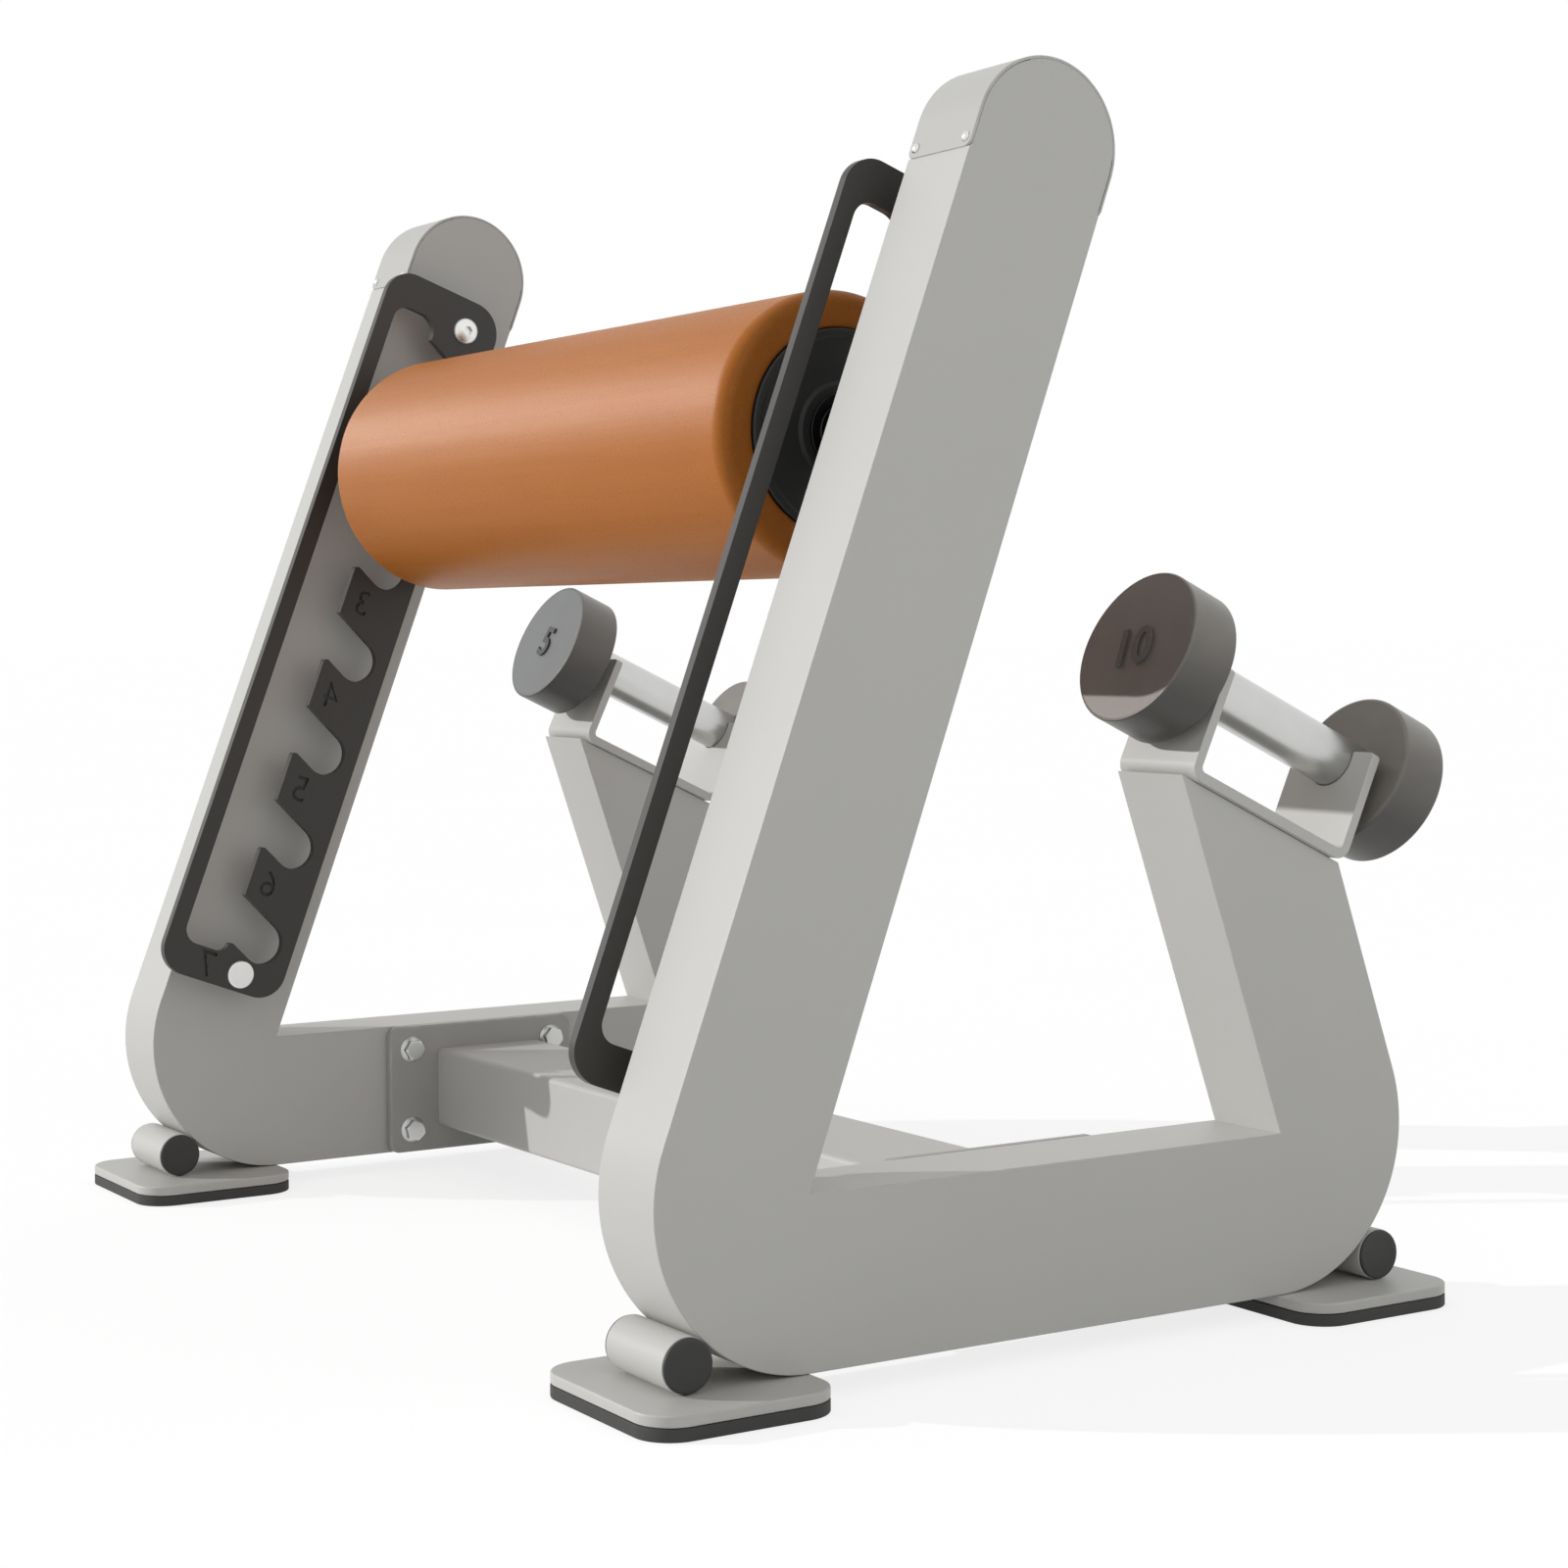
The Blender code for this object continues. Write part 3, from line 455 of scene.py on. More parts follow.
@dataclass(frozen=True)
class Moulding:
    """Moulded rubber or plastic: fine spark grain, flow marks, dusty patches, a painted lighter
    top.
    """

    name: str
    slot: str
    colour: Colour
    roughness: float
    grain: float = 1400.0
    depth: float = 0.00002
    dust: float = 0.25
    # How much the faces that look up are painted lighter, standing in for light from above.
    settled: float = 0.0
    settled_tone: float = 3.6
    settled_slope: tuple[float, float] = (-0.5, 1.1)

    def material(self) -> bpy.types.Material:
        """Mix the rubber or plastic.

        Returns:
            Its material.
        """
        recipe = Recipe(self.name)
        upward = recipe.upward().above(*self.settled_slope)
        flow = recipe.noise((14.0, 14.0, 30.0), 3.0)
        grain = recipe.noise(self.grain, 2.0)
        dusty = recipe.noise(45.0, 5.0).above(0.52, 0.3) * self.dust
        body = recipe.tones(flow, self.colour, 0.85, 1.15)
        # Painted light: faces that look up are lightened, standing in for light from above.
        layer = upward * (flow + 0.5) * self.settled
        top_lit = recipe.mix(layer, body, shade(self.colour, self.settled_tone))
        return recipe.finish(
            Base_Color=recipe.mix(dusty, top_lit, shade(self.colour, 2.0)),
            Roughness=self.roughness + (grain - 0.5) * 0.16 + dusty * 0.15,
            Normal=recipe.bump(grain, self.depth),
        )


@dataclass(frozen=True)
class Plated:
    """Plated or polished steel: bright metal with hairline scratches and faint smudges."""

    name: str
    slot: str
    colour: Colour
    roughness: float
    lines: Corner = (900.0, 60.0, 60.0)
    streak: float = 0.10

    def material(self) -> bpy.types.Material:
        """Mix the plating.

        Returns:
            Its material.
        """
        recipe = Recipe(self.name)
        hair = recipe.noise(self.lines, 3.0, recipe.local())
        smudge = recipe.noise(38.0, 3.0)
        recipe.finish(Metallic=1.0)
        return recipe.finish(
            Base_Color=recipe.tones(smudge, self.colour, 0.94, 1.04),
            Roughness=self.roughness + (hair - 0.5) * self.streak + (smudge - 0.5) * 0.08,
            Normal=recipe.bump(hair, 0.000004),
        )


@dataclass(frozen=True)
class FacedPlate:
    """The faced end of a dumbbell head: turning rings, marks and a raised number's own tone."""

    name: str
    slot: str
    colour: Colour
    metallic: float
    roughness: float
    figure_tone: float
    pitch: float = 0.0011
    figure_level: float = 0.1360

    def material(self) -> bpy.types.Material:
        """Mix the plate's metal.

        Returns:
            Its material.
        """
        recipe = Recipe(self.name)
        rings = (recipe.reach((0.0, 1.0, 1.0)) * (2 * math.pi / self.pitch)).sine() * 0.5 + 0.5
        raised = recipe.reach((1.0, 0.0, 0.0)).above(self.figure_level, 0.0002)
        mottle = recipe.noise(24.0, 4.0)
        marks = recipe.noise(190.0, 3.0).above(0.60, 0.12)
        body = recipe.tones(mottle, self.colour, 0.93, 1.07)
        marked = recipe.mix(marks * 0.20, body, shade(self.colour, 1.5))
        uneven = (mottle - 0.5) * 0.10 + rings * 0.03 + marks * 0.06
        recipe.finish(Metallic=self.metallic)
        return recipe.finish(
            Base_Color=recipe.mix(raised, marked, shade(self.colour, self.figure_tone)),
            Roughness=self.roughness + uneven + raised * 0.06,
            Normal=recipe.bump(rings, 0.0000025),
        )


Finish = PowderCoat | Leather | Moulding | Plated | FacedPlate

FRAME_PAINT = PowderCoat(
    "frame_powder", "frame_paint", (0.60, 0.595, 0.57), (0.68, 0.675, 0.65), 0.45, 0.45
)
CAP_PAINT = PowderCoat(
    "cap_powder", "frame_paint", (0.535, 0.53, 0.51), (0.60, 0.595, 0.57), 0.42, 0.45
)
# Darker than the frame's paint: painted shade for the flanges, which stand between the side frames.
FLANGE_SHADED_PAINT = PowderCoat(
    "flange_powder", "frame_paint", (0.44, 0.435, 0.418), (0.58, 0.575, 0.56), 0.42, 0.45
)
RACK_PAINT = PowderCoat(
    "rack_powder", "rack_paint", (0.037, 0.033, 0.029), (0.25, 0.245, 0.225), 0.48, 0.75, 900.0
)
COVER = Leather(
    "cover_leather", "roller_cover", (0.530, 0.178, 0.023), (0.436, 0.132, 0.016), 0.42, 0.22
)
RUBBER = Moulding("pad_rubber", "foot_rubber", (0.050, 0.049, 0.047), 0.74, 900.0, 0.00006, 0.3)
PLUG = Moulding("plug_plastic", "black_plastic", (0.035, 0.034, 0.033), 0.55)
DISC = Moulding("disc_plastic", "disc_plastic", (0.028, 0.028, 0.027), 0.52, 1100.0, 0.00003, 0.15)
# The heads' surface, whose upward faces are painted lighter as light from above would make them.
HEAD_GRAIN_AND_TOP_LIGHT = {"grain": 1600.0, "depth": 0.000015, "dust": 0.10, "settled": 1.0}
TEN_RUBBER = Moulding("ten_rubber", "ten_head", (0.070, 0.065, 0.058), 0.34, **HEAD_GRAIN_AND_TOP_LIGHT)
FIVE_RUBBER = Moulding("five_rubber", "five_head", (0.062, 0.058, 0.053), 0.34, **HEAD_GRAIN_AND_TOP_LIGHT)
TEN_FACE = FacedPlate("ten_face", "ten_head", (0.205, 0.191, 0.178), 1.0, 0.52, 0.65)
FIVE_FACE = FacedPlate("five_face", "five_head", (0.165, 0.170, 0.170), 0.15, 0.36, 0.22)
CHROME = Plated("chrome_plate", "chrome", (0.74, 0.74, 0.73), 0.22)
GRIP = Plated("grip_plate", "chrome", (0.60, 0.60, 0.59), 0.30, (70.0, 900.0, 900.0))
ZINC = Plated("zinc_plate", "chrome", (0.56, 0.565, 0.555), 0.40)
SATIN = Plated("satin_plate", "chrome", (0.82, 0.82, 0.81), 0.40)
STEEL = Plated(
    "blackened_steel", "brushed_steel", (0.050, 0.050, 0.050), 0.34, (1400.0, 30.0, 30.0), 0.16
)


class Palette:
    """Makes each finish's material once."""

    def __init__(self) -> None:
        """Start with no materials."""
        self.made: dict[str, bpy.types.Material] = {}

    def material(self, finish: Finish) -> bpy.types.Material:
        """Return a finish's material.

        Args:
            finish: the finish.

        Returns:
            Its one material.
        """
        if finish.name not in self.made:
            self.made[finish.name] = finish.material()
        return self.made[finish.name]


PALETTE = Palette()


class Pattern(Wiring):
    """A Geometry Nodes tree with named inputs that ends in Realize Instances and Set Material."""

    def __init__(self, name: str, sizes: dict[str, str]) -> None:
        """Start a tree.

        Args:
            name: the tree's name.
            sizes: socket type of each named input.
        """
        super().__init__(bpy.data.node_groups.new(name, "GeometryNodeTree"))
        sides = self.tree.interface
        sides.new_socket("Geometry", in_out="INPUT", socket_type="NodeSocketGeometry")
        for label, kind in {**sizes, "Finish": "NodeSocketMaterial"}.items():
            sides.new_socket(label, in_out="INPUT", socket_type=kind)
        sides.new_socket("Geometry", in_out="OUTPUT", socket_type="NodeSocketGeometry")
        self.entry = self.tree.nodes.new("NodeGroupInput").outputs

    def close(self, geometry: bpy.types.NodeSocket) -> None:
        """End the tree.

        Args:
            geometry: the last geometry socket.
        """
        real = self.node("GeometryNodeRealizeInstances", inputs={"Geometry": geometry})
        inputs = {"Geometry": real.outputs[0], "Material": self.entry["Finish"]}
        painted = self.node("GeometryNodeSetMaterial", inputs=inputs)
        self.node("NodeGroupOutput", inputs={"Geometry": painted.outputs[0]})

    def run(self, start: bpy.types.Mesh, name: str, values: dict[str, object]) -> bpy.types.Object:
        """Run the tree on a mesh.

        Args:
            start: the mesh that goes in.
            name: the piece's name.
            values: the value of each named input.

        Returns:
            The piece, as plain mesh.
        """
        piece = linked(name, start)
        modifier = piece.modifiers.new("pattern", "NODES")
        modifier.node_group = self.tree
        for item in self.tree.interface.items_tree:
            if item.item_type == "SOCKET" and item.in_out == "INPUT" and item.name in values:
                modifier[item.identifier] = values[item.name]
        return baked(piece)


def linked(name: str, data: bpy.types.ID) -> bpy.types.Object:
    """Put a mesh, curve, lamp or camera in the scene.

    Args:
        name: the object's name.
        data: what it shows.

    Returns:
        The object.
    """
    piece = bpy.data.objects.new(name, data)
    bpy.context.scene.collection.objects.link(piece)
    return piece


def baked(piece: bpy.types.Object) -> bpy.types.Object:
    """Turn a piece and its modifiers into plain mesh.

    Args:
        piece: the object.

    Returns:
        The same object.
    """
    bpy.context.view_layer.update()
    graph = bpy.context.evaluated_depsgraph_get()
    source = piece.evaluated_get(graph)
    mesh = bpy.data.meshes.new_from_object(source, preserve_all_data_layers=True, depsgraph=graph)
    piece.modifiers.clear()
    old, piece.data = piece.data, mesh
    bpy.data.meshes.remove(old)
    mesh.name = piece.name
    return piece


def removed(*pieces: bpy.types.Object) -> None:
    """Take helper objects out of the scene."""
    for piece in pieces:
        bpy.data.objects.remove(piece, do_unlink=True)


def noted(mesh: bpy.types.Mesh, name: str, domain: str, values: Sequence[float]) -> None:
    """Store a number for each face, or a vector for each point, as an attribute.

    Args:
        mesh: the mesh.
        name: the attribute's name.
        domain: FACE or POINT.
        values: the numbers, in order.
    """
    kind, key = ("FLOAT", "value") if domain == "FACE" else ("FLOAT_VECTOR", "vector")
    layer = mesh.attributes.get(name) or mesh.attributes.new(name, kind, domain)
    layer.data.foreach_set(key, values)


def solid(name: str, shape: Shape) -> bpy.types.Object:
    """Turn a shape into an object with outward faces.

    Args:
        name: the piece's name.
        shape: the shape, which is used up.

    Returns:
        The object.
    """
    bmesh.ops.remove_doubles(shape, verts=shape.verts, dist=FINEST)
    bmesh.ops.recalc_face_normals(shape, faces=shape.faces)
    mesh = bpy.data.meshes.new(name)
    shape.to_mesh(mesh)
    shape.free()
    return linked(name, mesh)


def edged(
    piece: bpy.types.Object, width: float, segments: int = 3, angle: float = 35.0
) -> bpy.types.Object:
    """Round a piece's edges and note the new faces in its edge attribute.

    Args:
        piece: the object.
        width: the rounding's width.
        segments: faces across it.
        angle: the least angle between faces that makes an edge.

    Returns:
        The same object.
    """
    piece.data.polygons.foreach_set("material_index", [0] * len(piece.data.polygons))
    while len(piece.data.materials) < 2:
        piece.data.materials.append(None)
    bevel = piece.modifiers.new("edges", "BEVEL")
    bevel.width = width
    bevel.segments = segments
    bevel.limit_method = "ANGLE"
    bevel.angle_limit = math.radians(angle)
    bevel.material = 1
    baked(piece)
    flags = [RUBBED if face.material_index == 1 else FLAT for face in piece.data.polygons]
    noted(piece.data, "edge", "FACE", flags)
    piece.data.polygons.foreach_set("material_index", [0] * len(flags))
    return piece


def engraver(piece: bpy.types.Object, inward: Vector) -> bpy.types.Object:
    """Note in a cutter's edge attribute that its walls get a painted highlight and its floor
    painted shade.

    Args:
        piece: the cutter.
        inward: the direction that the floor is square to.

    Returns:
        The same object.
    """
    floors = [abs(face.normal.dot(inward)) > 0.9 for face in piece.data.polygons]
    noted(piece.data, "edge", "FACE", [SHADED_FLOOR if floor else LIT_WALL for floor in floors])
    return piece


def carved(
    piece: bpy.types.Object, cutter: bpy.types.Object, operation: str = "DIFFERENCE"
) -> bpy.types.Object:
    """Cut or join with another object, which is used up.

    Args:
        piece: the object that stays.
        cutter: the object that works on it.
        operation: the Boolean operation.

    Returns:
        The piece.
    """
    modifier = piece.modifiers.new("carve", "BOOLEAN")
    modifier.operation = operation
    modifier.solver = "EXACT"
    modifier.object = cutter
    baked(piece)
    removed(cutter)
    return piece


def smoothed(piece: bpy.types.Object, angle: float = 40.0) -> bpy.types.Object:
    """Shade a piece smooth with flat faces kept flat.

    Args:
        piece: the object.
        angle: edges sharper than this stay sharp.

    Returns:
        The same object.
    """
    piece.data.shade_smooth()
    piece.data.set_sharp_from_angle(angle=math.radians(angle))
    weighted = piece.modifiers.new("normals", "WEIGHTED_NORMAL")
    weighted.weight = 100
    weighted.keep_sharp = True
    return baked(piece)


def fitted(
    piece: bpy.types.Object, finish: Finish, body: Body, nodes: Iterable[str]
) -> bpy.types.Object:
    """Give a piece its finish and body and let it stand for CAD nodes.

    Args:
        piece: the finished mesh object.
        finish: its finish.
        body: the body that it rides on.
        nodes: the CAD nodes that it stands for.

    Returns:
        The same object.
    """
    piece.data.materials.clear()
    piece.data.materials.append(PALETTE.material(finish))
    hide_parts(*nodes)
    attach(piece, body.value)
    faces = len(piece.data.polygons)
    LOG.info("%s: %d faces in %s on %s", piece.name, faces, finish.name, body.value)
    return piece


def dressed(
    name: str, shape: Shape, finish: Finish, body: Body, nodes: Iterable[str], angle: float = 40.0
) -> bpy.types.Object:
    """Turn a shape into a smooth piece that stands for CAD nodes.

    Args:
        name: the piece's name.
        shape: the shape, which is used up.
        finish: its finish.
        body: the body that it rides on.
        nodes: the CAD nodes that it stands for.
        angle: edges sharper than this stay sharp.

    Returns:
        The piece.
    """
    return fitted(smoothed(solid(name, shape), angle), finish, body, nodes)


def rounded(corners: Iterable[Corner], step: float = 7.5) -> list[Vector]:
    """Return the outline through (a, b, radius) corners.

    Args:
        corners: the corners in order, each with the radius of its arc.
        step: the largest turn of an arc's piece.

    Returns:
        The outline's points.
    """
    corners = list(corners)
    outline = []
    for index, (a, b, radius) in enumerate(corners):
        corner = Vector((a, b))
        if radius <= 0.0:
            outline.append(corner)
            continue
        before = (Vector(corners[index - 1][:2]) - corner).normalized()
        after = (Vector(corners[(index + 1) % len(corners)][:2]) - corner).normalized()
        half = before.angle(after) / 2
        start = corner + before * (radius / math.tan(half))
        centre = corner + (before + after).normalized() * (radius / math.sin(half))
        spoke = start - centre
        turn = math.copysign(math.pi - 2 * half, spoke.cross(corner - centre))
        steps = max(1, math.ceil(abs(turn) / math.radians(step)))
        turns = [Matrix.Rotation(turn * count / steps, 2) for count in range(steps + 1)]
        outline += [centre + rotation @ spoke for rotation in turns]
    return outline


def arc(
    centre: Sequence[float], radius: float, start: float, end: float, steps: int
) -> list[Vector]:
    """Return points on an arc, with both ends; angles are in radians."""
    turns = [start + (end - start) * count / steps for count in range(steps + 1)]
    return [Vector(centre) + radius * Vector((math.cos(turn), math.sin(turn))) for turn in turns]


def hexagon(width: float) -> list[Vector]:
    """Return the corners of a hexagon that is as wide as this across its flats."""
    return arc((0.0, 0.0), width / math.sqrt(3), 0.0, math.pi * 5 / 3, 5)


def box(left: float, right: float, bottom: float, top: float, radius: float = 0.0) -> list[Corner]:
    """Return a rectangle's corners with one radius."""
    corners = [(left, bottom), (right, bottom), (right, top), (left, top)]
    return [(a, b, radius) for a, b in corners]


def inset(outline: Sequence[Vector], depth: float) -> list[Vector]:
    """Move an outline inwards.

    Args:
        outline: the closed outline.
        depth: how far its sides move.

    Returns:
        The moved points, one for each.
    """
    count = len(outline)
    area = sum(outline[index - 1].cross(outline[index]) for index in range(count))
    way = math.copysign(1.0, area)
    normals = []
    for index in range(count):
        side = (outline[index] - outline[index - 1]).normalized()
        normals.append(Vector((-side.y, side.x)) * way)
    moved = []
    for index, point in enumerate(outline):
        one, other = normals[index], normals[(index + 1) % count]
        moved.append(point + (one + other) * (depth / (1.0 + one.dot(other))))
    return moved


def slab(
    outline: Sequence[Vector],
    low: float,
    high: float,
    edge: float,
    axis: Axis = Axis.X,
    place: Matrix | None = None,
    square: Iterable[int] = (),
) -> Shape:
    """Extrude an outline into a solid whose two rims are rounded.

    Args:
        outline: the outline in the plane square to the axis.
        low: where it starts along the axis.
        high: where it ends.
        edge: the rims' radius.
        axis: the axis.
        place: the frame that the coordinates are in.
        square: the outline points where the rims stay square.

    Returns:
        The shape, with the rims noted in the edge layer.
    """
    shape = bmesh.new()
    place = place or Matrix.Identity(4)
    square = set(square)
    layer = shape.faces.layers.float.new("edge")
    steps = 3 if edge else 0
    turns = [math.pi / 2 * count / steps for count in range(steps + 1)] if edge else [math.pi / 2]
    levels = [(low + edge * (1 - math.cos(turn)), edge * (1 - math.sin(turn))) for turn in turns]
    levels += [(low + high - level, depth) for level, depth in reversed(levels)]
    rows = []
    for level, depth in levels:
        row = []
        moved = inset(outline, depth) if depth > FINEST else outline
        for index, (a, b) in enumerate(moved):
            point = list(outline[index]) if index in square else [a, b]
            point.insert(axis.value, level)
            row.append(shape.verts.new(place @ Vector(point)))
        rows.append(row)
    shape.faces.new(rows[0])
    shape.faces.new(rows[-1])
    for number, (lower, upper) in enumerate(zip(rows, rows[1:])):
        for index in range(len(lower)):
            face = shape.faces.new((lower[index - 1], lower[index], upper[index], upper[index - 1]))
            face[layer] = FLAT if number == steps else RUBBED
    return shape


def turned(
    profile: Sequence[Sequence[float]], segments: int, place: Matrix, shape: Shape | None = None
) -> Shape:
    """Turn a closed (along, radius) profile about X.

    Args:
        profile: the profile; a point at radius 0 lies on the axis.
        segments: faces around.
        place: the frame that it is turned in.
        shape: a shape that it is added to.

    Returns:
        The shape, with its own coordinates kept in the local layer.
    """
    shape = shape or bmesh.new()
    layers = shape.verts.layers.float_vector
    layer = layers.get("local") or layers.new("local")
    rows = []
    for along, radius in profile:
        row = []
        for count in range(segments if radius > FINEST else 1):
            angle = 2 * math.pi * count / segments
            local = Vector((along, radius * math.cos(angle), radius * math.sin(angle)))
            vertex = shape.verts.new(place @ local)
            vertex[layer] = local
            row.append(vertex)
        rows.append(row)
    for row, following in zip(rows, rows[1:] + rows[:1]):
        if len(row) == 1 and len(following) == 1:
            continue
        for count in range(segments):
            beside = (count + 1) % segments
            loop = [row[count % len(row)], row[beside % len(row)]]
            loop += [following[beside % len(following)], following[count % len(following)]]
            shape.faces.new(list(dict.fromkeys(loop)))
    return shape


def dome(radius: float, height: float, steps: int = 8) -> list[tuple[float, float]]:
    """Return the profile of a low dome from its rim to its pole."""
    turns = [math.pi / 2 * count / steps for count in range(steps)]
    return [(height * math.sin(turn), radius * math.cos(turn)) for turn in turns] + [(height, 0.0)]


def facing(outward: Vector, origin: Vector, up: Vector) -> Matrix:
    """Return a frame whose Z points outward and whose Y leans towards up.

    Args:
        outward: the direction of Z.
        origin: the frame's origin.
        up: the direction that Y leans towards.

    Returns:
        The frame.
    """
    ahead = outward.normalized()
    right = up.cross(ahead).normalized()
    rows = Matrix((right, ahead.cross(right), ahead)).transposed()
    return Matrix.Translation(origin) @ rows.to_4x4()


def figure(
    name: str, text: str, height: float, depth: float, place: Matrix, thin: float = 0.0
) -> bpy.types.Object:
    """Make a plain figure as a solid, centred on a frame.

    Args:
        name: the object's name.
        text: the figure, in digits.
        height: its height.
        depth: how far it reaches on both sides of the frame's plane.
        place: its frame; X reads along it and Y is up.
        thin: how much its strokes are thinned.

    Returns:
        The object.
    """
    curve = bpy.data.curves.new(name, "FONT")
    curve.body = text
    curve.size = 1.0
    curve.extrude = depth / height
    curve.offset = -thin / height
    curve.resolution_u = 5
    maker = linked(name, curve)
    bpy.context.view_layer.update()
    mesh = bpy.data.meshes.new_from_object(maker)
    removed(maker)
    bpy.data.curves.remove(curve)
    shape = bmesh.new()
    shape.from_mesh(mesh)
    bpy.data.meshes.remove(mesh)
    lows = [min(vertex.co[axis] for vertex in shape.verts) for axis in range(3)]
    highs = [max(vertex.co[axis] for vertex in shape.verts) for axis in range(3)]
    size = height / (highs[1] - lows[1])
    middle = Vector([(low + high) / 2 for low, high in zip(lows, highs)])
    for vertex in shape.verts:
        local = (vertex.co - middle) * size
        local.z = math.copysign(depth, local.z)
        vertex.co = place @ local
    return solid(name, shape)


@dataclass(frozen=True)
class Layout:
    """The sizes that the sub-assemblies share, and the slanted frames that they are drawn in."""

    gap: float = 0.0003
    spread: float = 0.990
    depth: float = 0.075
    width: float = 0.120
    base_span: float = 0.4165
    base_bottom: float = 0.0176
    upright_lean: float = 20.54
    upright_length: float = 0.7432
    arm_lean: float = 18.91
    arm_length: float = 0.2849
    cut_tilt: float = 25.14

    @property
    def outer(self) -> float:
        """Return the outer face of a side frame."""
        return self.spread / 2

    @property
    def inner(self) -> float:
        """Return the inner face of a side frame."""
        return self.outer - self.depth

    @property
    def middle(self) -> float:
        """Return the middle of a side frame."""
        return self.outer - self.depth / 2

    @property
    def base_top(self) -> float:
        """Return the level of the base's top."""
        return self.base_bottom + self.width

    @property
    def front_corner(self) -> float:
        """Return the front inner corner's Y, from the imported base."""
        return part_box("right_base")[0][1] - self.gap

    @property
    def rear_corner(self) -> float:
        """Return the rear inner corner's Y."""
        return self.front_corner + self.base_span

    def _slanted(self, y: float, z: float, lean: float) -> Matrix:
        """Return the side-view frame at a point that leans back by an angle."""
        turn = Matrix.Rotation(-math.radians(lean), 4, "X")
        return Matrix.Translation((0.0, y, z)) @ turn

    @property
    def upright(self) -> Matrix:
        """Return the frame with Y behind the upright's front face and Z along it."""
        corner = self._slanted(self.front_corner, self.base_top, self.upright_lean)
        return corner @ Matrix.Translation((0.0, -self.width, 0.0))

    def on_upright(self, x: float, behind: float, along: float) -> Vector:
        """Return the point this far behind the upright's front face and along it."""
        point = self.upright @ Vector((0.0, behind, along))
        return Vector((x, point.y, point.z))

    @property
    def arm(self) -> Matrix:
        """Return the frame with Y behind the arm's front face and Z along it."""
        return self._slanted(self.rear_corner, self.base_top, -self.arm_lean)

    @property
    def cut(self) -> Matrix:
        """Return the frame with Y down the arm's cut and Z square to it."""
        start = self.arm @ Vector((0.0, 0.0, self.arm_length))
        return self._slanted(start.y, start.z, self.cut_tilt)


